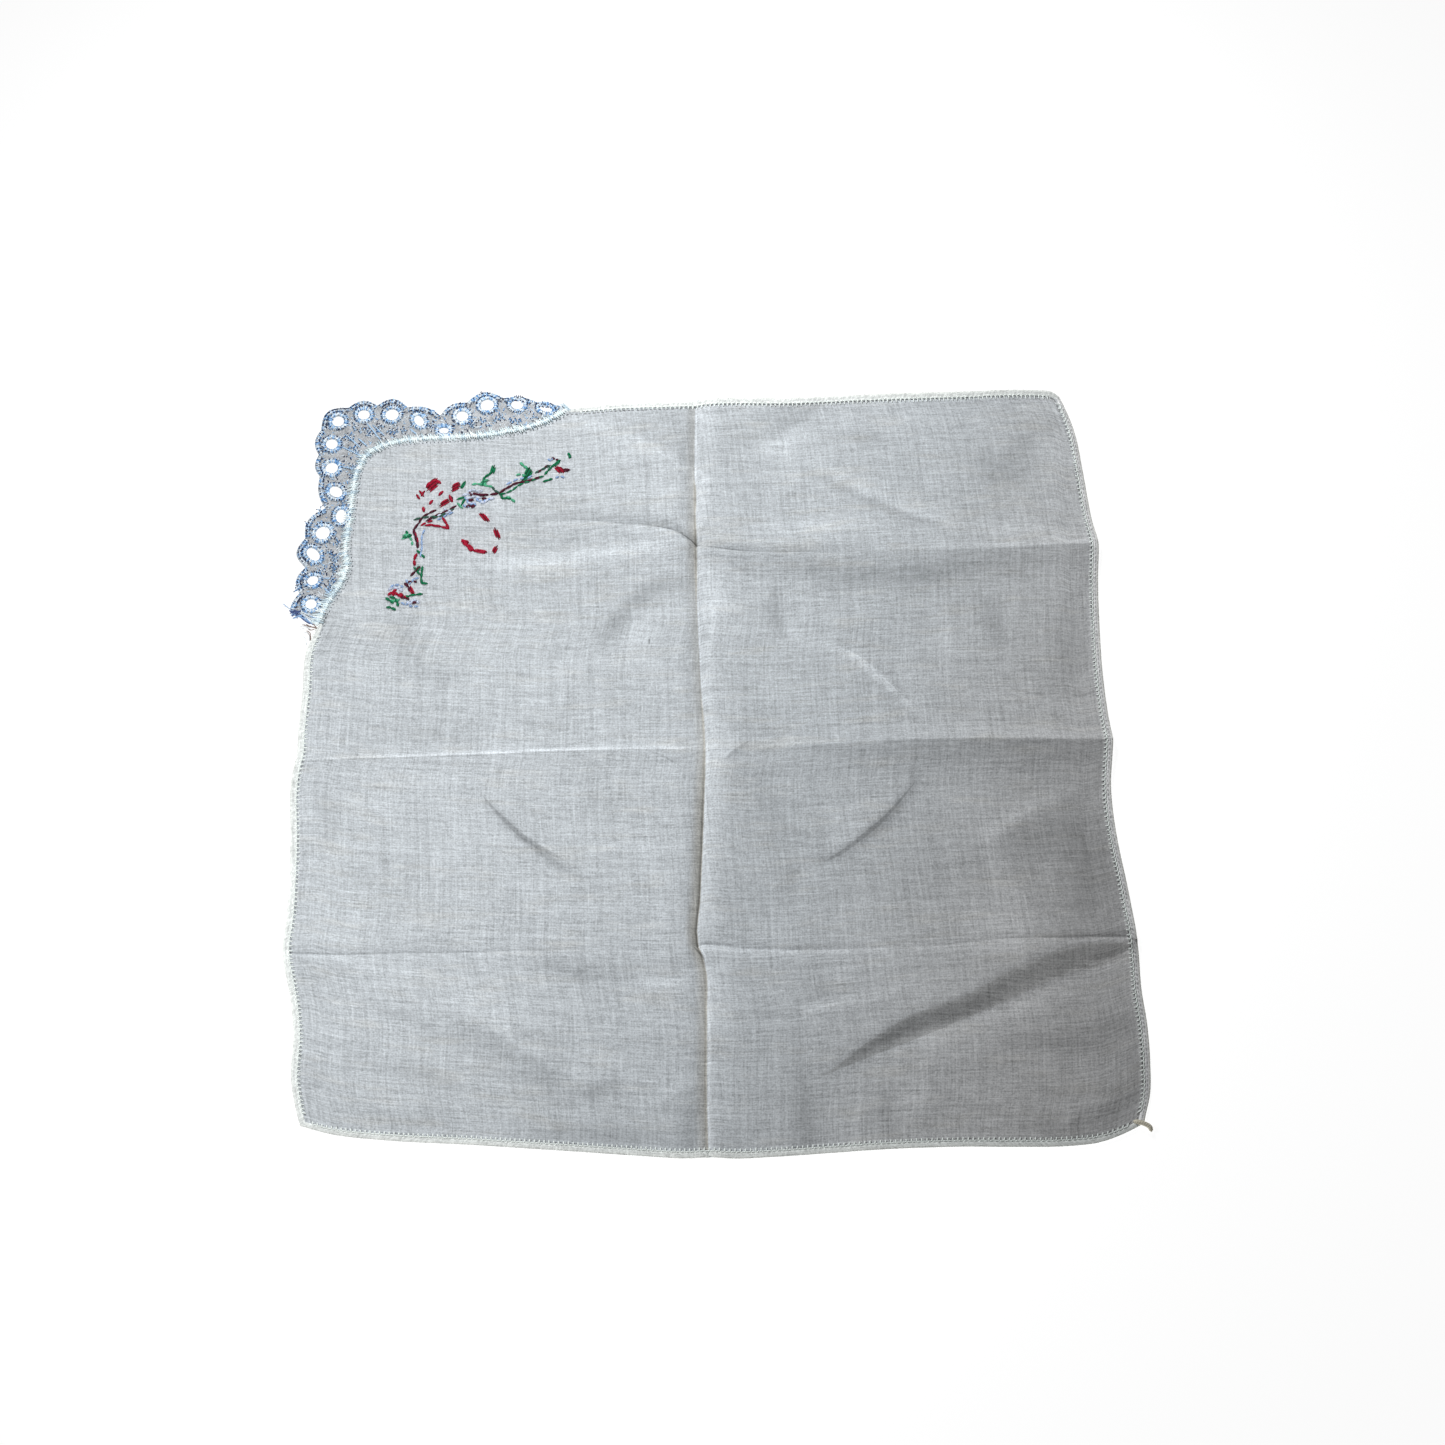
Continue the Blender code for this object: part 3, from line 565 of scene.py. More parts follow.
# Between the creases the cloth was pressed and handled: it rises in low soft crests and sinks in
# shallow troughs, and its colour carries a painted highlight along each crest and painted shade along
# each trough. Each has its strength along its line, below 0 for a trough, and how far it spreads to the
# left and to the right of the line's way
Soft = namedtuple("Soft", "left right stops")
SOFT_FOLDS = [
    # beside the middle fold
    Soft(5, 3, [
        Stop(0, 142, 0.08), Stop(0.5, 110, 0.10), Stop(0.5, 84, 0.05), Stop(3, 56, 0.12), Stop(3, 25, 0.11),
        Stop(4, 0, 0.13), Stop(4, -30, 0.13), Stop(3, -60, 0.07), Stop(4, -84, 0.10), Stop(5, -110, 0.03),
        Stop(5, -146, 0.04),
    ]),
    Soft(0.6, 5.5, [
        Stop(-5, 142, -0.08), Stop(-5, 110, -0.09), Stop(-5, 86, -0.09), Stop(-4, 60, -0.03),
        Stop(-3, 30, -0.03), Stop(-3, 2, -0.03), Stop(-2.5, -10, -0.06), Stop(-3, -40, -0.05),
        Stop(-4, -74, -0.06), Stop(-3, -90, -0.03), Stop(-2, -120, -0.06), Stop(-2, -146, -0.12),
    ]),
    # far left panel
    Soft(26, 26, [Stop(-80, 118, -0.02), Stop(-64, 94, -0.04), Stop(-46, 74, -0.04)]),
    Soft(24, 1.2, [
        Stop(-50, 140, -0.03), Stop(-30, 132.5, -0.05), Stop(-15, 124, -0.08), Stop(-5, 117, -0.08),
    ]),
    Soft(1.5, 3, [Stop(-52, 140, 0.03), Stop(-30, 132, 0.05), Stop(-14, 123, 0.05), Stop(-5, 116, 0.03)]),
    Soft(3.2, 3.2, [
        Stop(-84, 77, 0), Stop(-72, 75.5, 0.12), Stop(-58, 75.4, 0.16), Stop(-40, 79, 0.13),
        Stop(-20, 81, 0.11), Stop(-8, 82, 0.05),
    ]),
    Soft(5, 3, [
        Stop(-6, 68, -0.08), Stop(-20, 65.5, -0.16), Stop(-29, 57, -0.13), Stop(-36, 46, -0.11),
        Stop(-40, 42, 0),
    ]),
    Soft(2, 2, [Stop(-38, 44, 0), Stop(-46, 38, 0.05), Stop(-58, 31, 0.06), Stop(-68, 22, 0)]),
    Soft(6, 6, [Stop(-20, 58, 0), Stop(-24, 48, 0.06), Stop(-26, 36, 0.05), Stop(-26, 26, 0)]),
    Soft(5, 5, [
        Stop(-112, 58, -0.04), Stop(-110, 44, -0.07), Stop(-106, 34, -0.07), Stop(-94, 30, -0.07),
        Stop(-86, 28, 0),
    ]),
    Soft(2.5, 2.5, [Stop(-46, 26, 0), Stop(-50, 16, -0.06), Stop(-57, 2, -0.05)]),
    Soft(5, 5, [Stop(-132, 6, 0), Stop(-118, 6, -0.05), Stop(-88, 7, -0.06), Stop(-74, 8, 0)]),
    # far right panel
    Soft(12, 1.2, [Stop(8, 123, -0.03), Stop(20, 128, -0.06), Stop(36, 137, -0.13), Stop(42, 142, -0.11)]),
    Soft(1.2, 4, [Stop(14, 124, 0), Stop(25, 126.5, 0.08), Stop(34, 131, 0.05), Stop(40, 137, 0)]),
    Soft(4, 4, [Stop(27, 126, 0.03), Stop(31, 120, 0.05), Stop(35, 112, 0.02)]),
    Soft(6, 1.2, [
        Stop(36, 119, 0), Stop(43.3, 115, 0.06), Stop(63.5, 104, 0.09), Stop(86, 94.6, 0.09),
        Stop(96, 92.6, 0.02),
    ]),
    Soft(0.7, 3, [
        Stop(36, 118, 0), Stop(43.3, 114.2, -0.10), Stop(63.5, 103, -0.10), Stop(86, 93.6, -0.08),
        Stop(96, 91, 0),
    ]),
    Soft(14, 14, [Stop(138, 144, 0.10), Stop(136, 128, 0.10), Stop(132, 104, 0.05), Stop(130, 84, 0.05)]),
    Soft(6, 6, [Stop(104, 118, -0.06), Stop(112, 114, -0.11), Stop(124, 118, -0.06)]),
    Soft(5, 5, [Stop(117, 122, -0.06), Stop(124, 129, -0.11), Stop(135, 134, -0.08)]),
    Soft(2.5, 2.5, [Stop(50, 130, 0), Stop(60, 129.5, -0.08), Stop(74, 128, -0.03)]),
    Soft(4, 4, [
        Stop(18, 87, 0.02), Stop(36, 90, 0.09), Stop(56, 92, 0.09), Stop(76, 91, 0.05),
        Stop(110, 90, 0.04), Stop(146, 88, 0.05),
    ]),
    # right panel below the upper fold
    Soft(5.5, 5.5, [
        Stop(14, 74, 0), Stop(34, 73, -0.09), Stop(60, 71, -0.14), Stop(84, 71, -0.15), Stop(100, 74, -0.11),
        Stop(118, 75, -0.06), Stop(136, 76, -0.05), Stop(148, 77, -0.04),
    ]),
    Soft(3, 3, [Stop(27, 68, -0.06), Stop(26.5, 56, -0.14), Stop(28, 48, -0.12), Stop(31, 43, 0)]),
    Soft(2.5, 2.5, [Stop(31, 54, 0), Stop(34, 46, 0.10), Stop(38, 41, 0.03)]),
    Soft(8, 8, [Stop(3, 66, 0), Stop(7, 58, 0.10), Stop(11, 48, 0.04)]),
    Soft(1.6, 1.6, [
        Stop(34, 44, 0.03), Stop(46, 41, 0.08), Stop(52, 39, 0.14), Stop(64, 29, 0.16),
        Stop(74, 18, 0.08), Stop(78, 14, 0),
    ]),
    Soft(0.6, 3, [Stop(54, 34, 0), Stop(66, 24, -0.07), Stop(74, 15, 0)]),
    Soft(3.5, 3.5, [Stop(106, 64, -0.03), Stop(107, 54, -0.12), Stop(108, 44, -0.09), Stop(110, 38, 0)]),
    Soft(3, 3, [Stop(86, 64, 0), Stop(88, 52, 0.07), Stop(90, 38, 0.05), Stop(92, 28, 0)]),
    Soft(8, 8, [Stop(134, 52, -0.04), Stop(134, 38, -0.09), Stop(132, 26, -0.05)]),
    Soft(3.5, 3.5, [
        Stop(14, 6, 0), Stop(40, 7, -0.03), Stop(70, 7, 0), Stop(100, 7, 0.03), Stop(144, 7, 0.02),
    ]),
    # right panel below the middle fold
    Soft(7, 7, [Stop(24, -12, -0.05), Stop(24, -26, -0.09), Stop(28, -40, -0.07), Stop(28, -58, -0.06)]),
    Soft(1.4, 1.4, [
        Stop(78, -8, -0.03), Stop(75, -14, -0.10), Stop(64, -27.5, -0.20), Stop(54, -36, -0.18),
        Stop(43, -43.5, -0.14), Stop(36, -43.5, -0.05), Stop(31, -50, -0.07), Stop(28, -61, 0),
    ]),
    Soft(22, 1.5, [
        Stop(142, -14, -0.05), Stop(118, -28, -0.10), Stop(108, -36, -0.09), Stop(111, -50, -0.05),
        Stop(120, -66, -0.03),
    ]),
    Soft(2, 5, [Stop(132, -16, 0.03), Stop(114, -26, 0.07), Stop(102, -36, 0.05)]),
    Soft(9, 9, [
        Stop(136, -34, -0.08), Stop(137, -50, -0.14), Stop(134, -60, -0.11), Stop(130, -68, -0.04),
    ]),
    Soft(13, 13, [Stop(122, -22, -0.03), Stop(128, -45, -0.06), Stop(126, -66, -0.06)]),
    Soft(20, 20, [Stop(84, -14, -0.02), Stop(84, -40, -0.05), Stop(84, -80, -0.05)]),
    Soft(1.6, 1.6, [Stop(86, -34, 0), Stop(88, -46, 0.07), Stop(90, -58, 0.05), Stop(91, -66, 0)]),
    # near right panel
    Soft(7, 7, [Stop(10, -80, 0.03), Stop(11, -92, 0.05), Stop(10, -112, 0.03), Stop(11, -134, 0.05)]),
    Soft(9, 9, [Stop(38, -80, 0), Stop(39, -88, -0.06), Stop(40, -98, 0)]),
    Soft(12, 12, [Stop(128, -118, -0.02), Stop(128, -134, -0.05), Stop(140, -140, -0.03)]),
    Soft(0.8, 3, [
        Stop(30, -102, 0.02), Stop(40, -99.4, 0.05), Stop(56, -95.6, 0.08), Stop(74, -89.4, 0.04),
    ]),
    Soft(5, 1, [Stop(36, -96, -0.05), Stop(52, -93, -0.09), Stop(66, -88, -0.04)]),
    Soft(3, 3, [Stop(12, -99, 0), Stop(20, -99.5, -0.07), Stop(32, -100, -0.06)]),
    Soft(4, 4, [
        Stop(33, -112, -0.03), Stop(34, -124, -0.10), Stop(35, -138, -0.15), Stop(35, -149, -0.12),
    ]),
    Soft(2, 5, [
        Stop(66, -113, 0), Stop(84, -107.5, 0.08), Stop(100, -102, 0.10), Stop(118, -96, 0.06),
        Stop(136, -90, 0.05),
    ]),
    Soft(4, 5, [Stop(96, -106, 0), Stop(112, -108, -0.09), Stop(128, -107, -0.10), Stop(146, -103, -0.10)]),
    Soft(3.5, 3.5, [Stop(62, -126, -0.03), Stop(63, -134, -0.10), Stop(64, -142, -0.04)]),
    Soft(2, 2, [Stop(84, -120, -0.05), Stop(83, -130, -0.09), Stop(82, -140, -0.03)]),
    Soft(4, 4, [Stop(73, -120, 0), Stop(74, -130, 0.06), Stop(73, -140, 0)]),
    Soft(4, 4, [
        Stop(112, -140, -0.05), Stop(132, -139, -0.07), Stop(146, -132, -0.10), Stop(150, -118, -0.06),
    ]),
    Soft(2, 2, [Stop(118, -138, 0), Stop(130, -135, 0.07), Stop(140, -130, 0.04)]),
    # near left panel
    Soft(6, 6, [
        Stop(-100, -103, 0), Stop(-86, -106, -0.08), Stop(-72, -110, -0.09), Stop(-62, -113, -0.08),
        Stop(-50, -120, -0.07), Stop(-44, -125, 0),
    ]),
    Soft(3, 1, [
        Stop(-90, -96, 0.02), Stop(-76, -102.5, 0.08), Stop(-62, -112, 0.09), Stop(-50, -119, 0.08),
        Stop(-40, -124, 0.04),
    ]),
    Soft(1.5, 1.5, [
        Stop(-120, -96, 0), Stop(-112, -98.5, -0.09), Stop(-104, -101, -0.10), Stop(-92, -105, -0.04),
    ]),
    Soft(2.5, 2.5, [Stop(-44, -130, -0.03), Stop(-38, -128.5, -0.14), Stop(-31, -125.5, -0.08)]),
    Soft(6, 6, [Stop(-62, -122, -0.04), Stop(-54, -124, -0.07), Stop(-50, -132, -0.03)]),
    Soft(3.5, 3.5, [
        Stop(-62, -79, -0.03), Stop(-50, -82, -0.09), Stop(-42, -85, -0.11), Stop(-36, -86, -0.04),
    ]),
    Soft(5, 5, [Stop(-70, -81, 0), Stop(-40, -86, -0.05), Stop(-14, -83, -0.03)]),
    Soft(2, 2.5, [Stop(-30, -91, 0), Stop(-18, -89.5, 0.10), Stop(-8, -87.5, 0.12), Stop(-2, -84, 0.08)]),
    Soft(2, 2, [Stop(-26, -137, 0), Stop(-14, -130, 0.08), Stop(-3, -124, 0.10)]),
    Soft(4, 4, [
        Stop(-70, -141, 0), Stop(-50, -142, -0.09), Stop(-30, -143.5, -0.10), Stop(-10, -144, -0.06),
    ]),
    Soft(2.5, 2.5, [
        Stop(-124, -82, 0), Stop(-112, -84.5, 0.06), Stop(-96, -86.5, 0.05), Stop(-84, -88, 0),
    ]),
    Soft(5, 5, [Stop(-92, -91, 0.02), Stop(-78, -95, 0.06), Stop(-66, -101, 0.03)]),
    Soft(3, 3, [
        Stop(-124, -117, -0.03), Stop(-108, -118, -0.06), Stop(-90, -124, -0.08),
        Stop(-84, -127, -0.03),
    ]),
    Soft(3, 3, [Stop(-118, -136, 0), Stop(-100, -137, -0.06), Stop(-82, -138, -0.05), Stop(-70, -138, 0)]),
    # left panel below the middle fold
    Soft(16, 16, [Stop(-104, -22, 0), Stop(-103, -46, -0.035), Stop(-100, -78, -0.035), Stop(-98, -92, 0)]),
    Soft(3, 3, [Stop(-137, -14, -0.03), Stop(-136, -26, -0.09), Stop(-134, -36, -0.04)]),
    Soft(2.5, 2.5, [Stop(-46, -38, 0), Stop(-32, -37, 0.05), Stop(-10, -39, 0.05)]),
    Soft(2, 2, [Stop(-38, -8, -0.04), Stop(-40, -20, -0.05), Stop(-42, -34, 0)]),
    Soft(1.4, 1.4, [
        Stop(-80, -18, -0.04), Stop(-74, -25, -0.16), Stop(-64, -35, -0.20), Stop(-55, -42, -0.18),
        Stop(-43, -49, -0.06), Stop(-38, -50, 0),
    ]),
]
# SOFT_RISE lifts the cloth by the soft folds' strengths; SOFT_SHADE scales the painted shade and highlight
# that they put into its colour
SOFT_RISE, SOFT_SHADE = 3.5, 1.6
SOFT_REACH = 2.2


def near_line(points, stops, reach):
    """Which points lie near a line, how far each is beside it, and the line's own strength there."""
    line = along(stops, 1.0)
    low, high = line[:, :2].min(axis=0) - reach, line[:, :2].max(axis=0) + reach
    close = np.flatnonzero(((points > low) & (points < high)).all(axis=1))
    away, nearest = beside(points[close], line)
    return close, away, line[nearest, 2]


def softness(points):
    """The soft folds' strengths together: each one's own, fading as a bell to both sides."""
    total = np.zeros(len(points))
    for soft in SOFT_FOLDS:
        close, away, strength = near_line(points, soft.stops, SOFT_REACH * max(soft.left, soft.right))
        total[close] += strength * np.exp(-((away / np.where(away > 0, soft.left, soft.right)) ** 2))
    return total


def lift(points):
    """How far the cloth's underside stands off the table: every crease adds its own rise to that of the
    long swells and the soft folds."""
    total = SOFT_RISE * softness(points)
    for swell in SWELLS:
        angle = math.radians(swell.angle_deg)
        phase = (points[:, 0] * math.cos(angle) + points[:, 1] * math.sin(angle)) / swell.wave
        total += BILLOW_HIGH * swell.share * np.sin(2 * math.pi * phase + swell.start)
    total = np.maximum(total, 0)
    for crease in CREASES:
        reach = FAR_REACH * max(crease.left.far, crease.right.far)
        close, away, high = near_line(points, crease.stops, reach)
        high = np.maximum(high, 0)
        gap = np.abs(away)
        near = np.where(away > 0, crease.left.near, crease.right.near)
        far = np.where(away > 0, crease.left.far, crease.right.far)
        with np.errstate(divide="ignore", invalid="ignore", over="ignore"):
            if crease.kind == "ridge":
                rise = high * np.exp(-(np.sqrt(gap**2 + CREST_ROUND**2) - CREST_ROUND) / far)
            elif crease.kind == "dip":
                rise = high * (1 - np.exp(-gap / near)) * np.exp(-((gap / far) ** 2))
            else:
                leaning = np.clip(high - gap * TENT_SLOPE, 0, None)
                easing = high * np.exp(-((gap / np.maximum(far, 1)) ** 2))
                rise = np.where(away > 0, leaning, easing)
        total[close] += rise
    return total


def cloth_top(points):
    """How high the cloth's upper face is over places of the table."""
    return lift(points) + CLOTH_REST + CLOTH_THICK


def piece(name, places, quads, finish, uv=None, tint=None):
    """A smooth-shaded mesh of quads from places in millimetres, with a UV map named for where it lies
    and a tint on each point."""
    mesh = bpy.data.meshes.new(name)
    mesh.from_pydata((places.reshape(-1, 3) * MM).tolist(), [], np.asarray(quads).tolist())
    mesh.polygons.foreach_set("use_smooth", np.ones(len(mesh.polygons), bool))
    corners = np.empty(len(mesh.loops), int)
    mesh.loops.foreach_get("vertex_index", corners)
    if uv is not None:
        layer = mesh.uv_layers.new(name="weave")
        layer.data.foreach_set("uv", uv.reshape(-1, 2)[corners].ravel().astype(np.float32))
    if tint is not None:
        shade = mesh.attributes.new("tint", "FLOAT_COLOR", "POINT")
        shade.data.foreach_set("color", tint.reshape(-1, 4).ravel().astype(np.float32))
    mesh.materials.append(finish.material)
    thing = bpy.data.objects.new(name, mesh)
    bpy.context.scene.collection.objects.link(thing)
    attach(thing, "root")
    return thing


def sheet_quads(rows, columns):
    """The quads of a grid whose rows run towards the viewer, facing up."""
    k = np.arange((rows - 1) * columns).reshape(rows - 1, columns)[:, :-1].ravel()
    return np.stack([k, k + columns, k + columns + 1, k + 1], axis=1)


SEAM = [
    Point(-52.2, 142.7), Point(-58.9, 138.2), Point(-69, 134.1), Point(-88.4, 130.5),
    Point(-108.8, 129.1), Point(-120, 127.3), Point(-127.5, 123.5), Point(-131.9, 115.3),
    Point(-133, 104.3), Point(-134, 87.1), Point(-134.4, 81), Point(-133.3, 74.6),
    Point(-134.7, 68.9), Point(-139.8, 58.9), Point(-143.2, 50),
]
CORNER_CUT = [Point(-160, 50), Point(-170, 170), Point(-46, 170), Point(-46, 147)]


def inside(points, outline):
    """Whether each point lies in a closed outline: a level line from it crosses the outline an odd
    number of times."""
    start, end = outline, np.roll(outline, -1, axis=0)
    count = np.zeros(len(points), int)
    for (ax, ay), (bx, by) in zip(start, end):
        spans = (points[:, 1] > ay) != (points[:, 1] > by)
        with np.errstate(divide="ignore", invalid="ignore"):
            at = ax + (points[:, 1] - ay) / (by - ay) * (bx - ax)
        count += spans & (points[:, 0] < at)
    return count % 2 == 1


def trimmed(plan, quads):
    """The quads outside the cut corner, with the points on their new border moved onto the seam."""
    seam = along(SEAM, 0.4)
    outline = np.concatenate([seam, [tuple(p) for p in CORNER_CUT]])
    flat = plan.reshape(-1, 2)
    gone = inside(flat[quads].mean(axis=1), outline)
    border = np.intersect1d(quads[gone], quads[~gone])
    near = ((flat[border, None] - seam[None]) ** 2).sum(-1).argmin(1)
    flat[border] = seam[near]
    return flat, quads[~gone]


plan, flat_x, flat_y = cloth_plan()
grid_rows, grid_columns = plan.shape[:2]
on_table, cloth_quads = trimmed(plan, sheet_quads(grid_rows, grid_columns))
used, cloth_quads = np.unique(cloth_quads, return_inverse=True)
cloth_quads = cloth_quads.reshape(-1, 4)
surface_z = cloth_top(on_table)


def held(line, at, key):
    """A line of stops read at each place, with its end values beyond its ends."""
    first, last = sorted((line[0][key], line[-1][key]))
    return (down(line) if key else across(line))(np.clip(at, first, last))


far_y, near_y = held(TOP_EDGE, on_table[:, 0], 0), held(BOTTOM_EDGE, on_table[:, 0], 0)
left_x, right_x = held(LEFT_EDGE, on_table[:, 1], 1), held(RIGHT_EDGE, on_table[:, 1], 1)
weave_u = (on_table[:, 0] - left_x) / (right_x - left_x)
weave_v = (on_table[:, 1] - near_y) / (far_y - near_y)
cloth_uv = np.clip(np.stack([weave_u, weave_v], axis=1), 0, 1)

WEAVE_WHITE = (0.588, 0.625, 0.654, 1)
WEAVE_GREY = (0.613, 0.617, 0.622, 1)
CREASE_CREAM = (0.645, 0.625, 0.565, 1)
HEM_LINE = 3.35
HemWidths = namedtuple("HemWidths", "far right near left")
HEM_WIDTHS = HemWidths(0.86, 0.76, 0.74, 0.80)
NEEDLE_PITCH = 1.7
FLECK = Point(-20.2, 43.2)

lawn = Finish("cotton_lawn", Roughness=0.92, Specular_IOR_Level=0.15)
map_x, map_y = lawn.map("weave")
thread_x, thread_y = map_x * CLOTH_SIDE, map_y * CLOTH_SIDE


def streaks(finish, x, y, long, wide, seed, detail=1.0):
    """Noise drawn out along x: one swell to each long by wide millimetres."""
    return finish.noise(finish.vector(x / long, y / wide, seed), detail)


weft = streaks(lawn, thread_x, thread_y, 5.5, 0.40, 1.5)
weft_long = streaks(lawn, thread_x, thread_y, 30.0, 0.55, 3.5)
warp = streaks(lawn, thread_y, thread_x, 6.0, 0.42, 7.5)
warp_long = streaks(lawn, thread_y, thread_x, 36.0, 0.7, 9.5)
grain = streaks(lawn, thread_x, thread_y, 0.55, 0.45, 11.5)
clouds = streaks(lawn, thread_x, thread_y, 22.0, 8.0, 13.5, 2.0)
slub = lawn.step(streaks(lawn, thread_x, thread_y, 13.0, 0.5, 17.5), 0.19, 0.27)
slub_down = lawn.step(streaks(lawn, thread_y, thread_x, 11.0, 0.5, 19.5), 0.20, 0.28)
warm_threads = lawn.step(streaks(lawn, thread_x, thread_y, 20.0, 4.0, 29.5, 3.0), 0.0, 0.26)
bright = (
    1.0 + weft * 0.62 + weft_long * 0.42 + warp * 0.43 + warp_long * 0.40 + grain * 0.88
    + clouds * 0.11 + slub * 0.20 + slub_down * 0.18
)
# The soft folds' painted shade and highlight, kept on each point of the lawn as its tint
painted_fold_shade = lawn.parts(lawn.tint())[0]

# Painted shade and highlight along the old creases: each fold is painted darker on its shaded side and
# lighter on its crest. Each mark's strength runs along its line, below 0 where it is darker, and fades
# to nothing on both sides
Mark = namedtuple("Mark", "line shift far near strengths")
MARKS = [
    Mark(UPPER_FOLD, 0, 5.5, 0.35, {
        -100: 0, -80: -0.06, -48: -0.16, -32: -0.18, -9: -0.24, -3: -0.26, -1: 0,
    }),
    Mark(UPPER_FOLD, 0, 0.6, 0.5, {
        -60: 0, -32: -0.1, -17: -0.2, -9: -0.35, 2: -0.4, 28: -0.3, 47: -0.15, 60: 0,
    }),
    Mark(UPPER_FOLD, 0, 3.5, 0.4, {
        -3: 0, 3: -0.10, 28: -0.08, 47: -0.04, 60: 0.0, 80: 0.07, 110: 0.14, 148: 0.16,
    }),
    Mark(UPPER_FOLD, 0, 0.3, 14, {4: 0, 20: -0.05, 80: -0.06, 110: -0.09, 140: -0.10, 148: -0.05}),
    Mark(MIDDLE_FOLD, 0, 2.2, 0.3, {
        -146: 0.16, -131: 0.28, -110: 0.36, -85: 0.40, -52: 0.36, -4: 0.32, 1: 0,
    }),
    Mark(MIDDLE_FOLD, 0, 0.2, 0.9, {-146: -0.26, -131: -0.24, -110: -0.2, -85: -0.13, -52: -0.08, -10: 0}),
    Mark(MIDDLE_FOLD, 0, 0.9, 0.3, {4: 0, 13: 0.04, 35: 0.10, 64: 0.14, 93: 0.14, 122: 0.10, 148: 0.10}),
    Mark(MIDDLE_FOLD, 0, 0.2, 26, {12: 0, 35: -0.06, 64: -0.12, 93: -0.17, 122: -0.2, 148: -0.2}),
    Mark(LOWER_FOLD, 0, 0.7, 0.7, {-146: -0.40, -127: -0.36, -106: -0.32, -82: -0.26, -57: -0.20, -36: 0}),
    Mark(LOWER_FOLD, 0, 0.3, 5.0, {
        -146: 0, -127: 0.04, -82: 0.04, -10: 0, 0: 0.06, 20: 0.12, 60: 0.08, 110: 0.04,
    }),
    Mark(LOWER_FOLD, 0, 1.0, 0.5, {
        -4: 0, 0: 0.2, 20: 0.18, 52: 0.08, 75: 0, 85: -0.12, 104: -0.26, 129: -0.36, 150: -0.3,
    }),
]
DOWN_MARKS = [
    Mark(CENTRE_FOLD, 0, 0.3, 5.0, {
        -150: -0.1, -134: -0.12, -98: -0.12, -84: -0.14, -75: -0.18, -58: -0.17, -39: -0.17, -20: -0.16,
        0: -0.08, 20: -0.08, 60: -0.06, 82: -0.12, 103: -0.08, 125: -0.08, 145: -0.06,
    }),
    Mark(CENTRE_FOLD, -0.2, 0.5, 0.9, {
        -150: -0.12, -98: -0.12, -86: -0.14, -82: -0.3, -75: -0.6, -58: -0.52, -39: -0.52, -20: -0.42,
        -4: -0.3, 0: -0.1, 20: -0.12, 40: -0.06, 60: -0.14, 76: -0.4, 82: -0.5, 95: -0.10, 103: -0.4,
        112: -0.06, 145: -0.04,
    }),
    Mark(CENTRE_FOLD, 0.7, 0.8, 0.5, {
        -150: 0.2, -98: 0.16, -84: 0.12, -75: 0.22, -39: 0.22, 0: 0.16, 40: 0.06, 82: 0.06, 103: 0.06,
        145: 0.04,
    }),
    Mark(CENTRE_FOLD, 0, 0.6, 0.7, {
        12: 0, 24: 0.24, 60: 0.26, 74: 0.1, 78: 0, 88: 0, 96: 0.2, 100: 0, 106: 0, 112: 0.34, 145: 0.3,
    }),
]
RIPPLE_FOOT = [
    Point(40, -122.8), Point(50.6, -118.3), Point(59.7, -114.6), Point(75, -108.4), Point(90.6, -101.8),
    Point(106, -94.8), Point(122, -87.6), Point(137.5, -82), Point(147, -78.6), Point(152, -76),
]
MARK_STEPS = 56
# Painted shade and highlights beside the small tucks and the pinch in the centre fold: a strength below 0
# paints shade, above 0 a highlight, as a lens along the line
TuckMark = namedtuple("TuckMark", "strength wide line")
TUCK_MARKS = [
    TuckMark(-0.20, 2.4, LEFT_TUCK), TuckMark(-0.24, 2.2, RIGHT_TUCK),
    TuckMark(0.11, 1.1, [
        Point(40, 43.9), Point(49.4, 41.2), Point(58, 36), Point(66.5, 27.2), Point(75.7, 16.8),
        Point(80, 11),
    ]),
    TuckMark(-0.5, 1.5, [
        Point(-3.4, -76), Point(-2, -77.4), Point(-0.6, -78.8), Point(0.4, -80.6), Point(0.9, -82.6),
    ]),
    TuckMark(0.22, 0.9, [Point(-1.6, -76.2), Point(-0.2, -77.8), Point(0.8, -79.4), Point(1.6, -81.6)]),
    TuckMark(-0.20, 1.1, [Point(-21, -0.6), Point(-15, -3.4), Point(-8, -7.6)]),
    TuckMark(-0.16, 2.0, [Point(7, -5.6), Point(11, -2), Point(16.4, 2.6)]),
]

table_x, table_y = lawn.place()


def course(wire, line, key=0):
    """A line of stops as a number for the shader: y for any x, or with key 1 x for any y."""
    rows = sorted((s[key], s[1 - key]) for s in line)
    knots, values = np.array(rows, float).T
    at = np.linspace(knots[0], knots[-1], MARK_STEPS)
    return lawn.follow(wire, at[0], at[-1], smooth(at, knots, values).tolist())


def marked(wire, away, mark):
    """How much lighter or darker one mark makes the cloth: its strength here, none beyond its reach."""
    knots, values = np.array(list(mark.strengths.items()), float).T
    at = np.linspace(knots[0], knots[-1], MARK_STEPS)
    strength = lawn.follow(wire, at[0], at[-1], np.interp(at, knots, values).tolist())
    away = away - mark.shift
    return strength * lawn.step(away, mark.far, 0.0) * lawn.step(away, -mark.near, 0.0)
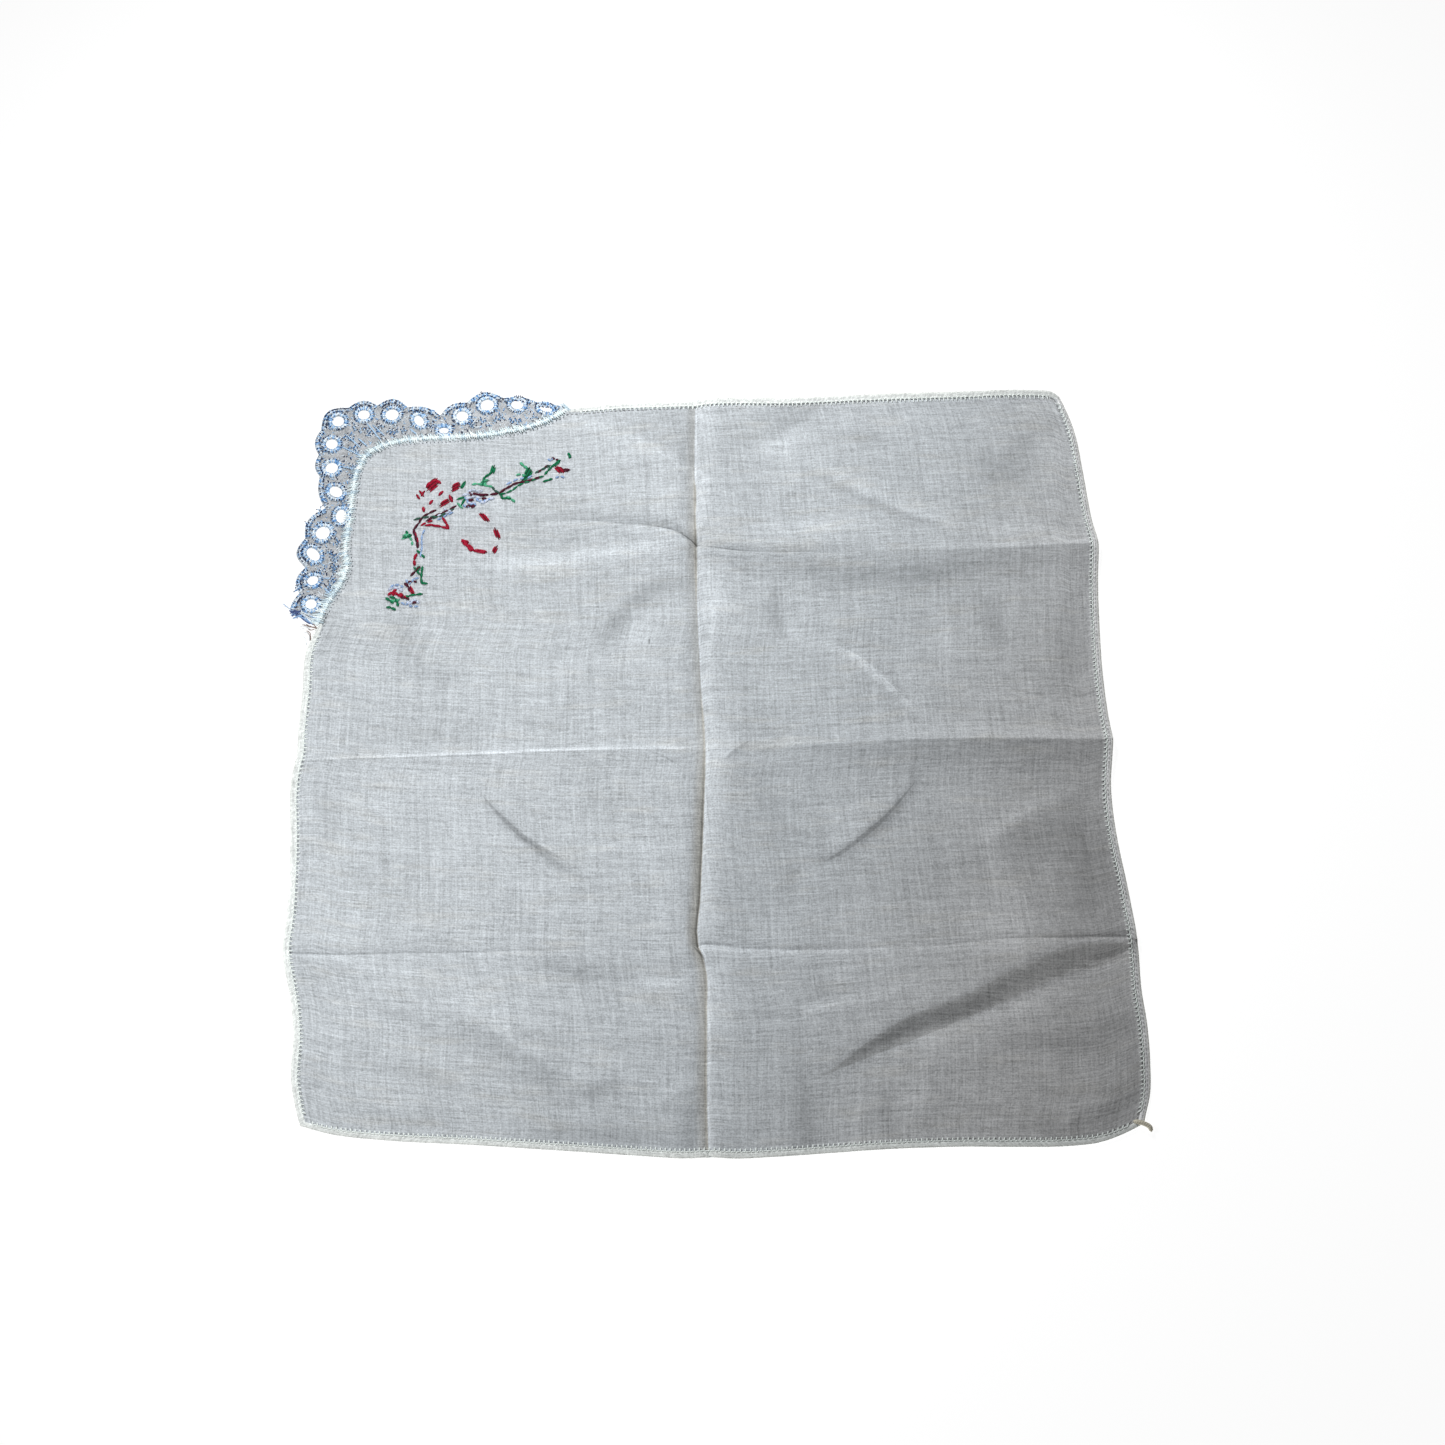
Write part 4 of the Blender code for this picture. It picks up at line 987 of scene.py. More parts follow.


# Together the marks are painted shade where below 0 and painted highlight where above it
painted_crease_shade = 0.0
for mark in MARKS:
    painted_crease_shade = marked(table_x, table_y - course(table_x, mark.line), mark) + painted_crease_shade
centre_away = table_x - course(table_y, CENTRE_FOLD, 1)
painted_centre_shade = 0.0
for mark in DOWN_MARKS:
    painted_centre_shade = marked(table_y, centre_away, mark) + painted_centre_shade
# The ripple's slope between its foot and crest is painted darker towards its left end and lighter towards
# its right one, and a painted highlight lies just below its foot
in_ripple = lawn.step(table_y - course(table_x, RIPPLE_FOOT), -0.1, 0.2)
in_ripple = in_ripple * lawn.step(table_y - course(table_x, RIPPLE_CREST), 0.5, -0.5)
in_ripple = in_ripple * lawn.step(table_x, 40, 43)
painted_crease_shade = painted_crease_shade - in_ripple * (0.24 - lawn.step(table_x, 52, 92) * 0.15 - lawn.step(table_x, 84, 144) * 0.40)
under_foot = course(table_x, RIPPLE_FOOT) - table_y
lit_foot = lawn.step(under_foot, 6, 0) * lawn.step(under_foot, -0.3, 0.3) * lawn.step(table_x, 56, 84)
painted_crease_shade = painted_crease_shade + lit_foot * 0.10
for mark in TUCK_MARKS:
    first, last = sorted((mark.line[0].x, mark.line[-1].x))
    share = (table_x - first) / (last - first)
    lens = (share * (1 - share) * 4).most(0.0) ** 0.6
    gap = abs(table_y - course(table_x, mark.line))
    painted_crease_shade = painted_crease_shade + lawn.step(lens * mark.wide * 0.5 - gap, -0.1, 0.3) * mark.strength
# The weave turns cream where the centre fold's painted shade is strongest, in the ripple and along some warm
# threads
cream_tint = (0.0 - painted_centre_shade * 5.0).most(in_ripple * 0.12).least(0.85).most(warm_threads * 0.22)
speck = lawn.step(streaks(lawn, thread_x, thread_y, 1.8, 0.9, 23.5), 0.27, 0.33)
fleck_away = ((table_x - FLECK.x) / 0.35) ** 2 + ((table_y - FLECK.y) / 1.1) ** 2
fleck = lawn.step(fleck_away, 1.6, 0.5)
# The weave's brightness times the painted shade and highlight of the creases, the centre fold and the soft
# folds
bright = (bright + speck * 0.16) * (1 + painted_crease_shade) * (1 + painted_centre_shade) * painted_fold_shade
edge_away = (thread_x / HEM_WIDTHS.left).least((CLOTH_SIDE - thread_x) / HEM_WIDTHS.right)
edge_away = edge_away.least(thread_y / HEM_WIDTHS.near).least((CLOTH_SIDE - thread_y) / HEM_WIDTHS.far)
down_side = thread_x.least(CLOTH_SIDE - thread_x).under(thread_y.least(CLOTH_SIDE - thread_y))
border_run = down_side * thread_y + (1 - down_side) * thread_x
needle_gap = abs((border_run / NEEDLE_PITCH).cycle() - 0.5) * NEEDLE_PITCH
needle_uneven = grain * 0.8
in_hole_row = lawn.step(abs(edge_away - HEM_LINE + needle_uneven), 0.48, 0.2)
needle_holes = lawn.step(needle_gap + needle_uneven, 0.62, 0.3) * in_hole_row
hole_dark = 0.40 + lawn.step(table_x + table_y, -80, 60) * 0.20
bright = bright * (1 - needle_holes * hole_dark) * (1 - fleck * 0.5)
# The weave's colour turns from a bluish white to a neutral grey towards the near right
near_right_share = lawn.step(table_x + table_y * -0.35, 30, 175)
lawn_base = lawn.blend(near_right_share, WEAVE_WHITE, WEAVE_GREY)
lawn_colour = lawn.tinted(lawn.blend(cream_tint, lawn_base, CREASE_CREAM), bright)
lawn.feed(Base_Color=lawn_colour)
lawn.feed(Normal=lawn.relief(weft * 0.5 + warp * 0.5 + grain * 0.6, 0.5, 0.25 * MM))

# The lawn's tint carries the soft folds' painted shade and highlight
cloth = piece(
    "lawn_square",
    np.column_stack([on_table, surface_z])[used],
    cloth_quads,
    lawn,
    uv=cloth_uv[used],
    tint=np.repeat(1 + SOFT_SHADE * softness(on_table[used])[:, None], 4, axis=1),
)
body = cloth.modifiers.new("thickness", "SOLIDIFY")
body.thickness = CLOTH_THICK * MM
body.offset = -1
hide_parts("cloth")

# The hem: the square's raw edge turned under twice, as wide as a straw, mitred at its corners, and
# held by a row of drawn stitches that pulls the threads apart into a line of needle holes.
HEM_WHITE = (0.87, 0.905, 0.885, 1)
HEM_PLAIN = (0.87, 0.88, 0.885, 1)
HEM_CREAM = (0.84, 0.83, 0.75, 1)
HEM_STEP = 1.6
HEM_STITCH_ALONG = 2.6
HEM_STITCH_OVER = (2.3, 4.3)
HEM_THREAD = 0.29
Rib = namedtuple("Rib", "inward high")
HEM_SECTION = [
    Rib(2.95, -0.12), Rib(2.85, 0.10), Rib(2.3, 0.22), Rib(1.5, 0.28), Rib(0.7, 0.24),
    Rib(0.2, 0.15), Rib(-0.06, 0.0), Rib(-0.10, -0.14), Rib(0.1, -0.26), Rib(2.5, -0.27),
]

heights = surface_z.reshape(grid_rows, grid_columns)
spread = np.dstack([on_table.reshape(grid_rows, grid_columns, 2), heights])


def on_cloth(x, y):
    """Where a place of the flat cloth lies, x from its left edge and y from its far one: the grid's four
    points around it, weighed by how near they are."""
    column = np.interp(x, flat_x, np.arange(grid_columns))
    row = np.interp(y, flat_y, np.arange(grid_rows))
    i = np.minimum(row.astype(int), grid_rows - 2)
    j = np.minimum(column.astype(int), grid_columns - 2)
    s, t = (row - i)[..., None], (column - j)[..., None]
    far = spread[i, j] * (1 - t) + spread[i, j + 1] * t
    near = spread[i + 1, j] * (1 - t) + spread[i + 1, j + 1] * t
    return far * (1 - s) + near * s


def flat_place(x, y, edge):
    """The flat cloth's own distance along one edge at which the edge passes a point of the table."""
    if edge == "far":
        return float(np.interp(x, spread[0, :, 0], flat_x))
    return float(np.interp(-y, -spread[:, 0, 1], flat_y))


lace_from = flat_place(SEAM[0].x - 1, SEAM[0].y, "far")
lace_to = flat_place(SEAM[-1].x, SEAM[-1].y + 1, "left")
HEM_CORNERS = np.array(
    [[lace_from, 0], [CLOTH_SIDE, 0], [CLOTH_SIDE, CLOTH_SIDE], [0, CLOTH_SIDE], [0, lace_to]]
)
HEM_MITRES = np.array(
    [
        [0, HEM_WIDTHS.far], [-HEM_WIDTHS.right, HEM_WIDTHS.far], [-HEM_WIDTHS.right, -HEM_WIDTHS.near],
        [HEM_WIDTHS.left, -HEM_WIDTHS.near], [HEM_WIDTHS.left, 0],
    ]
)


def on_hem(side, share, inward):
    """Places along one side of the hem: each share of the way between the side's two mitred corners,
    moved inward from the edge. What lies outside the edge goes on in the plane of the hem."""
    start = HEM_CORNERS[side] + HEM_MITRES[side] * np.maximum(inward, 0)[..., None]
    end = HEM_CORNERS[side + 1] + HEM_MITRES[side + 1] * np.maximum(inward, 0)[..., None]
    flat = start * (1 - share)[..., None] + end * share[..., None]
    way = HEM_CORNERS[side + 1] - HEM_CORNERS[side]
    within = np.array([-way[1], way[0]]) / np.hypot(*way)
    edge = on_cloth(flat[..., 0], flat[..., 1])
    inner = on_cloth(flat[..., 0] + within[0], flat[..., 1] + within[1])
    return edge + (edge - inner) * np.maximum(-inward, 0)[..., None]


inward = np.array([rib.inward for rib in HEM_SECTION])
rib_high = np.array([rib.high for rib in HEM_SECTION])
hem_rows, hem_runs = [], []
run = 0.0
for side in range(4):
    length = np.hypot(*(HEM_CORNERS[side + 1] - HEM_CORNERS[side]))
    share = np.linspace(0, 1, math.ceil(length / HEM_STEP) + 1)[(1 if side else 0) :]
    share_grid, inward_grid = np.meshgrid(share, inward, indexing="ij")
    rows = on_hem(side, share_grid, inward_grid)
    rows[..., 2] += rib_high
    hem_rows.append(rows)
    hem_runs.append(run + share * length)
    run += length
hem_rows = np.concatenate(hem_rows)
hem_runs = np.concatenate(hem_runs)


def tube_quads(rows, sides):
    """The quads of a closed tube whose rings run along it, each ring in the same sense."""
    i = np.arange((rows - 1) * sides).reshape(rows - 1, sides)
    on = np.roll(i, -1, axis=1)
    return np.stack([i, on, on + sides, i + sides], axis=-1).reshape(-1, 4)


def tube_ends(rows, sides):
    """The two ends of such a tube, each closed by quads between its facing points."""
    k = np.arange(sides // 2 - 1)
    last = np.stack([k, k + 1, sides - 2 - k, sides - 1 - k], axis=-1)
    return np.concatenate([last[:, ::-1], last + (rows - 1) * sides])


HEM_ROW_IN = 1.45
HEM_RIGHT_FROM = CLOTH_SIDE - lace_from
HEM_RIGHT_TO = HEM_RIGHT_FROM + CLOTH_SIDE
hem_finish = Finish("hem_cotton", Roughness=0.9, Specular_IOR_Level=0.15)
hem_run, hem_in = hem_finish.map("weave")
hem_run, hem_in = hem_run * CLOTH_SIDE, hem_in * CLOTH_SIDE
hem_weave = streaks(hem_finish, hem_run, hem_in, 1.3, 0.5, 2.5)
hem_weave = hem_weave + streaks(hem_finish, hem_in, hem_run, 3.0, 0.45, 4.5)
hem_patch = streaks(hem_finish, hem_run, hem_in, 9.0, 3.0, 6.5)
hem_edge = hem_finish.step(hem_in, 1.1, 0.2)
hem_pitch = abs((hem_run / NEEDLE_PITCH + 0.5).cycle() - 0.5) * NEEDLE_PITCH
hem_uneven = streaks(hem_finish, hem_run, hem_in, 1.9, 0.8, 8.5)
in_hem_row = hem_finish.step(abs(hem_in - HEM_ROW_IN - hem_uneven), 0.5, 0.15)
hem_holes = hem_finish.step(hem_pitch + hem_uneven, 0.70, 0.35) * in_hem_row
on_right = hem_finish.step(hem_run, HEM_RIGHT_FROM - 1, HEM_RIGHT_FROM + 1)
on_right = on_right * hem_finish.step(hem_run, HEM_RIGHT_TO + 1, HEM_RIGHT_TO - 1)
on_near = hem_finish.step(hem_run, HEM_RIGHT_TO - 1, HEM_RIGHT_TO + 4)
on_near = on_near * hem_finish.step(hem_run, HEM_RIGHT_TO + CLOTH_SIDE, HEM_RIGHT_TO)
hem_bright = 1.02 + hem_weave * 0.75 + hem_patch * 0.30 + hem_edge * 0.14
hem_bright = hem_bright + on_right * 0.12 + on_near * 0.18
hem_bright = hem_bright * (1 - hem_holes * (0.12 + on_right * 0.34))
hem_base = hem_finish.blend(on_right, HEM_WHITE, HEM_PLAIN)
hem_base = hem_finish.blend(hem_edge * (0.2 + on_right * 0.3), hem_base, HEM_CREAM)
hem_finish.feed(Base_Color=hem_finish.tinted(hem_base, hem_bright))
hem_finish.feed(Normal=hem_finish.relief(hem_weave, 0.5, 0.2 * MM))

hem_uv = np.stack(np.broadcast_arrays(hem_runs[:, None], inward[None]), -1) / CLOTH_SIDE
hem_rings, hem_sides = hem_rows.shape[:2]
hem_faces = np.concatenate([tube_quads(hem_rings, hem_sides), tube_ends(hem_rings, hem_sides)])
hem = piece("hem_fold", hem_rows, hem_faces, hem_finish, uv=hem_uv)


# The threads that sew and trim the cloth are all fine tubes of six sides, bowed stitch by stitch
THREAD_SIDES = 6
THREAD_FLAT = 0.75
STITCH_STEPS = 5


def strands(paths, wide, high):
    """Threads as closed tubes: a flattened ring of points carried along each path. paths is (threads,
    steps, 3); wide and high are half the thread's width and height, for each thread and step."""
    threads, steps = paths.shape[:2]
    sides = THREAD_SIDES
    way = np.gradient(paths, axis=1)
    way /= np.linalg.norm(way, axis=-1, keepdims=True) + 1e-9
    level = np.cross([0.0, 0.0, 1.0], way)
    level /= np.linalg.norm(level, axis=-1, keepdims=True) + 1e-9
    upright = np.cross(way, level)
    angle = np.arange(sides) * 2 * math.pi / sides
    rings = (
        paths[:, :, None]
        + level[:, :, None] * (wide[..., None] * np.cos(angle))[..., None]
        + upright[:, :, None] * (high[..., None] * np.sin(angle))[..., None]
    )
    one = np.concatenate([tube_quads(steps, sides), tube_ends(steps, sides)])
    quads = (one[None] + (np.arange(threads) * steps * sides)[:, None, None]).reshape(-1, 4)
    lengths = np.linalg.norm(np.diff(paths, axis=1), axis=-1)
    runs = np.concatenate([np.zeros((threads, 1)), np.cumsum(lengths, axis=1)], axis=1)
    uv = np.stack(np.broadcast_arrays(runs[:, :, None], np.arange(sides) / sides), -1)
    return rings, quads, uv


def stitches(starts, ends, half_wide, arch):
    """Short threads from one place to another, bowed up by arch in the middle and thin at the ends,
    where they go down through the cloth."""
    t = np.linspace(0, 1, STITCH_STEPS)
    bow = np.sin(math.pi * t)
    paths = starts[:, None] * (1 - t)[:, None] + ends[:, None] * t[:, None]
    half_wide = np.broadcast_to(half_wide, len(starts))
    paths[..., 2] += bow * np.broadcast_to(arch, len(starts))[:, None]
    body = half_wide[:, None] * (0.45 + 0.55 * bow**0.5)
    return strands(paths, body, body * THREAD_FLAT)


def seen(red, green, blue):
    """A colour as a screen shows it, from 0 to 255, as the light that it stands for."""
    return tuple(((c / 255 + 0.055) / 1.055) ** 2.4 for c in (red, green, blue))


def thread_piece(name, threads, finish, colours, steps=STITCH_STEPS):
    """One piece of many threads, as strands() gives them, with a colour for each thread, which all the
    points of its steps carry."""
    places, quads, uv = threads
    tint = np.column_stack([colours, np.ones(len(colours))])
    tint = np.repeat(tint, steps * THREAD_SIDES, axis=0)
    return piece(name, places, quads, finish, uv=uv, tint=tint)


def thread_finish(name, roughness, ply, lightness=1.0):
    """Cotton floss: the thread's own colour, with two plies twisted round each other. One turn of the
    twist takes ply millimetres."""
    made = Finish(name, Roughness=roughness, Specular_IOR_Level=0.25)
    along_thread, around = made.map("weave")
    twist = ((along_thread / ply + around * 2.0) * (2 * math.pi)).sine()
    fibre = made.noise(made.vector(along_thread * 2.0, around * 9.0, 1.5))
    # The twist also puts painted shade in faint stripes along the plies into the colour
    made.feed(Base_Color=made.tinted(made.tint(), lightness + twist * 0.10 + fibre * 0.35))
    made.feed(Normal=made.relief(twist * 0.5 + fibre, 0.6, 0.1 * MM))
    return made


WHITE_THREAD = seen(240, 246, 243)
HEM_BAR_ABOVE, HEM_RUN_ABOVE = (0, 0, 0.16), (0, 0, 0.14)
HEM_STITCH_ARCH = 0.16


def hem_point(side, run_at, inward):
    """Places beside one side of the hem, by their run along it and how far in they lie. The far and
    near sides run along x, the right and left ones along y."""
    down_cloth = side % 2
    fixed = HEM_CORNERS[side][1 - down_cloth]
    turn = (1 if side in (0, 3) else -1) * HEM_WIDTHS[side]
    cross = np.full_like(run_at, fixed + turn * inward)
    return on_cloth(cross, run_at) if down_cloth else on_cloth(run_at, cross)


white_cotton = thread_finish("white_sewing_thread", 0.75, 0.9, 1.16)
hem_outer, hem_inner = HEM_STITCH_OVER
bars_from, bars_to, runs_from, runs_to = [], [], [], []
for side in range(4):
    low, high = sorted(HEM_CORNERS[side : side + 2, side % 2])
    first_needle = math.ceil((low + hem_inner) / NEEDLE_PITCH)
    needles = np.arange(first_needle, (high - hem_inner) / NEEDLE_PITCH) * NEEDLE_PITCH
    in_line = hem_point(side, needles, HEM_STITCH_ALONG) + HEM_RUN_ABOVE
    bars_from.append(hem_point(side, needles, hem_outer) + HEM_BAR_ABOVE)
    bars_to.append(hem_point(side, needles, hem_inner))
    runs_from.append(in_line[:-1])
    runs_to.append(in_line[1:])
sewn_from = np.concatenate(bars_from + runs_from)
sewn = stitches(sewn_from, np.concatenate(bars_to + runs_to), HEM_THREAD, HEM_STITCH_ARCH)
sewn_white = np.tile(WHITE_THREAD, (len(sewn_from), 1))
hem_sewing = thread_piece("hem_stitches", sewn, white_cotton, sewn_white)


# The lace: a strip of machine embroidered net, its eyelets punched out and ringed with blue and white
# thread, its edge scalloped and oversewn. It was shaped round the corner and sewn into the cut.
LACE_THICK = 0.22
LACE_REST = 0.12
LACE_TAUPE = seen(187, 190, 193)
ARC_SIDES = 14
EYELET_SIDES = 28
NET_STEP = 1.6
LACE_END = [Point(-153.6, 56.4), Point(-151.4, 53.8), Point(-146, 52.8)]
SEAM_GAP = 0.1

Scallop = namedtuple("Scallop", "x y rise")
SCALLOPS = [
    Scallop(-54, 143.4, 0.2), Scallop(-64.2, 145.4, 1.4), Scallop(-77.5, 147.4, 3.6),
    Scallop(-91.5, 145.4, 2.0), Scallop(-101.4, 139.6, 2.0), Scallop(-114.2, 143.2, 3.3),
    Scallop(-125.8, 144.2, 2.6), Scallop(-136.8, 143.0, 4.4), Scallop(-146.7, 133.2, 1.9),
    Scallop(-147, 122.3, 1.7), Scallop(-146, 113, 1.5), Scallop(-143.1, 99.1, 3.2),
    Scallop(-149.8, 86.2, 3.3), Scallop(-149, 74.1, 2.3), Scallop(-150.5, 63.1, 0.6),
]
Eyelet = namedtuple("Eyelet", "x y half_long half_wide tilt_deg")
EYELETS = [
    Eyelet(-61.1, 142.6, 2.7, 1.2, -20), Eyelet(-72.1, 144.5, 2.4, 2.0, 0),
    Eyelet(-83.6, 144.3, 2.6, 2.4, 0), Eyelet(-93.0, 139.3, 2.3, 2.2, 0),
    Eyelet(-99.8, 133.0, 1.9, 1.3, 0), Eyelet(-109.5, 137.3, 2.5, 1.7, -60),
    Eyelet(-120.0, 139.9, 2.6, 2.4, 0), Eyelet(-130.8, 140.0, 2.3, 2.1, 0),
    Eyelet(-140.5, 137.0, 2.3, 2.2, 0), Eyelet(-142.3, 127.0, 2.3, 2.2, -20),
    Eyelet(-141.7, 116.5, 2.4, 2.3, 0), Eyelet(-139.5, 106.3, 2.7, 2.1, -40),
    Eyelet(-136.9, 95.7, 2.9, 2.0, 90), Eyelet(-143.4, 88.6, 2.8, 2.6, 60),
    Eyelet(-146.4, 79.5, 3.1, 2.0, -48), Eyelet(-145.9, 68.6, 2.1, 1.9, 20),
    Eyelet(-145.9, 58.7, 2.1, 2.0, 0),
]


def scallop_edge(sides):
    """The lace's outer edge, from its right end to its lower one: each scallop is half a sine wave over
    the straight line to the next one's start. Gives the points and the way out of the lace at each."""
    ends = [(s.x, s.y) for s in SCALLOPS[1:]] + [(LACE_END[0].x, LACE_END[0].y)]
    t = np.arange(sides) / sides
    points, outs = [], []
    for scallop, end in zip(SCALLOPS, ends):
        start = np.array([scallop.x, scallop.y])
        chord = np.array(end) - start
        length = np.hypot(*chord)
        out = np.array([chord[1], -chord[0]]) / length
        rise = scallop.rise * np.sin(math.pi * t)
        slope = scallop.rise * math.pi * np.cos(math.pi * t) / length
        points.append(start + chord * t[:, None] + out * rise[:, None])
        normal = out - (chord / length) * slope[:, None]
        outs.append(normal / np.linalg.norm(normal, axis=1)[:, None])
    return np.concatenate(points), np.concatenate(outs)


def eyelet_ring(eyelet, angle, grow=0.0):
    """Points round an eyelet, its edge moved out by grow: an ellipse turned by its tilt."""
    turn = math.radians(eyelet.tilt_deg)
    long, wide = (eyelet.half_long + grow) * np.cos(angle), (eyelet.half_wide + grow) * np.sin(angle)
    x = eyelet.x + long * math.cos(turn) - wide * math.sin(turn)
    y = eyelet.y + long * math.sin(turn) + wide * math.cos(turn)
    return np.stack([x, y], axis=-1)


def lace_height(points):
    """The net's top: it lies a little unevenly, in low waves."""
    wave = np.sin(points[:, 0] * 0.31 + 0.4) * np.sin(points[:, 1] * 0.27 + 1.1)
    return LACE_REST + LACE_THICK + 0.18 * (1 + wave)


seam_line = along(SEAM, 1.2)
seam_way = np.gradient(seam_line, axis=0)
seam_out = np.stack([seam_way[:, 1], -seam_way[:, 0]], axis=1) / np.hypot(*seam_way.T)[:, None]
rim = np.concatenate(
    [
        scallop_edge(ARC_SIDES)[0],
        [tuple(p) for p in LACE_END],
        (seam_line + seam_out * SEAM_GAP)[1:-1][::-1],
    ]
)
circle = np.arange(EYELET_SIDES) * 2 * math.pi / EYELET_SIDES
loops = [rim] + [eyelet_ring(e, circle) for e in EYELETS]
net_x, net_y = np.meshgrid(np.arange(-156, -50, NET_STEP), np.arange(50, 152, NET_STEP))
net = np.stack([net_x.ravel(), net_y.ravel()], axis=1)
odd = sum(inside(net, loop).astype(int) for loop in loops)
rim_gaps = np.min([((net[:, None] - loop[None]) ** 2).sum(-1).min(1) for loop in loops], axis=0)
net = net[(odd == 1) & (rim_gaps > (NET_STEP / 3) ** 2)]
sizes_of = [len(loop) for loop in loops]
starts_of = np.cumsum([0, *sizes_of[:-1]])
fences = [
    (int(a + k), int(a + (k + 1) % n)) for a, n in zip(starts_of, sizes_of) for k in range(n)
]
cloud = np.concatenate([*loops, net])
fitted = delaunay_2d_cdt(cloud.tolist(), fences, [], 0, 1e-6)
lace_points = np.array([tuple(v) for v in fitted[0]])
lace_faces = np.array(fitted[2])
middles = lace_points[lace_faces].mean(axis=1)
lace_faces = lace_faces[sum(inside(middles, loop).astype(int) for loop in loops) == 1]

net_finish = Finish("lace_net", Roughness=0.85, Specular_IOR_Level=0.2)
place_x, place_y = net_finish.place()
mesh_up, mesh_down = place_x * 1.05 + place_y * 0.6, place_x * 1.05 - place_y * 0.6
mesh_lines = abs(mesh_up.cycle() - 0.5) + abs(mesh_down.cycle() - 0.5)
net_cloud = streaks(net_finish, place_x, place_y, 3.0, 2.5, 5.5, 2.0)
net_grain = streaks(net_finish, place_x, place_y, 0.6, 0.6, 7.5)
net_bright = 0.88 + mesh_lines * 0.22 + net_cloud * 0.9 + net_grain * 1.0
net_finish.feed(Base_Color=net_finish.tinted(LACE_TAUPE, net_bright))
net_finish.feed(Normal=net_finish.relief(mesh_lines + net_grain, 0.6, 0.15 * MM))
lace = piece(
    "lace_net", np.column_stack([lace_points, lace_height(lace_points)]), lace_faces, net_finish
)
lace_body = lace.modifiers.new("thickness", "SOLIDIFY")
lace_body.thickness = LACE_THICK * MM
lace_body.offset = -1
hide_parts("lace")

# The lace's threads: a ring of short stitches round each eyelet, a row of them over the scalloped edge,
# sprigs between, and short dark threads, painted shade, where most of the stitches go down into the net.
RING_WIDE = 1.75
RING_PITCH = 0.56
EDGE_WIDE = 1.8
EDGE_PITCH = 0.50
EDGE_SIDES = 60
EDGE_SHADE_DOTS = [(0.65, 0.62), (EDGE_WIDE, 0.66)]
LACE_THREAD = 0.21
OUTER_SHADE_DOTS, INNER_SHADE_DOTS = 0.75, 0.45
lace_floss = thread_finish("lace_floss", 0.6, 0.8, 1.08)
SKY, MILK, DENIM = seen(184, 216, 246), seen(238, 248, 255), seen(120, 170, 222)
MIST, NAVY = seen(206, 216, 226), seen(26, 40, 80)
RING_COLOURS = [SKY, MILK, DENIM, MIST]
random = np.random.default_rng(11)


def picked(colours, shares, count):
    """A colour for each of a number of threads, drawn by the shares."""
    return np.array(colours)[random.choice(len(colours), count, p=shares)]


def on_lace(points, above=0.06):
    """Places of the table as places a little above the net."""
    return np.column_stack([points, lace_height(points) + above])


lace_starts, lace_ends, lace_wide, lace_arch, lace_tint = [], [], [], [], []


def lay(starts, ends, half_wide, arch, colours):
    """Adds stitches to the lace's threads, with half a thread's width and how far it bows up."""
    count = len(starts)
    lace_starts.append(starts)
    lace_ends.append(ends)
    lace_wide.append(np.broadcast_to(half_wide, count))
    lace_arch.append(np.broadcast_to(arch, count))
    lace_tint.append(np.broadcast_to(colours, (count, 3)))


for eyelet in EYELETS:
    round_it = 2 * math.pi * ((eyelet.half_long + eyelet.half_wide) / 2 + RING_WIDE * 0.6)
    count = round(round_it / RING_PITCH)
    angle = (np.arange(count) + random.uniform(-0.2, 0.2, count)) * 2 * math.pi / count
    reach = RING_WIDE + random.normal(0, 0.13, count)
    hole = eyelet_ring(eyelet, angle, -0.08)
    tip = np.stack([eyelet_ring(eyelet, a + 0.05, g) for a, g in zip(angle, reach)])
    lay(on_lace(hole), on_lace(tip), half_wide=LACE_THREAD * 1.4, arch=0.3,
        colours=picked(RING_COLOURS, [0.32, 0.46, 0.10, 0.12], count))
    between = angle + math.pi / count
    outer_tip = np.stack([eyelet_ring(eyelet, a + 0.04, random.uniform(1.75, 2.1)) for a in between])
    between_from = eyelet_ring(eyelet, between, 0.85)
    lay(on_lace(between_from), on_lace(outer_tip), half_wide=LACE_THREAD, arch=0.34,
        colours=picked(RING_COLOURS, [0.36, 0.32, 0.20, 0.12], count))
    # Painted shade: short dark threads between the ring's stitches where they go down, and at the hole's
    # edge
    shade_dot_turn = between + random.uniform(-0.08, 0.08, count)
    shade_dot_in = eyelet_ring(eyelet, shade_dot_turn, 1.15)
    shade_dot_out = np.stack([eyelet_ring(eyelet, a, random.uniform(1.6, 2.0)) for a in shade_dot_turn])
    keep = random.random(count) < OUTER_SHADE_DOTS
    lay(on_lace(shade_dot_in[keep], above=0.56), on_lace(shade_dot_out[keep], above=0.42), half_wide=0.20,
        arch=0.10, colours=picked([NAVY, DENIM], [0.80, 0.20], int(keep.sum())))
    inner_turn = angle[random.random(count) < INNER_SHADE_DOTS] + 0.1
    lay(on_lace(eyelet_ring(eyelet, inner_turn, 0.12), above=0.30),
        on_lace(eyelet_ring(eyelet, inner_turn, 0.55), above=0.50), half_wide=0.17, arch=0.06,
        colours=picked([NAVY, DENIM], [0.5, 0.5], len(inner_turn)))


def at_run(run_at, runs, line):
    """The places or ways of a line of points, read at distances along it."""
    return np.stack([np.interp(run_at, runs, line[:, k]) for k in (0, 1)], axis=1)


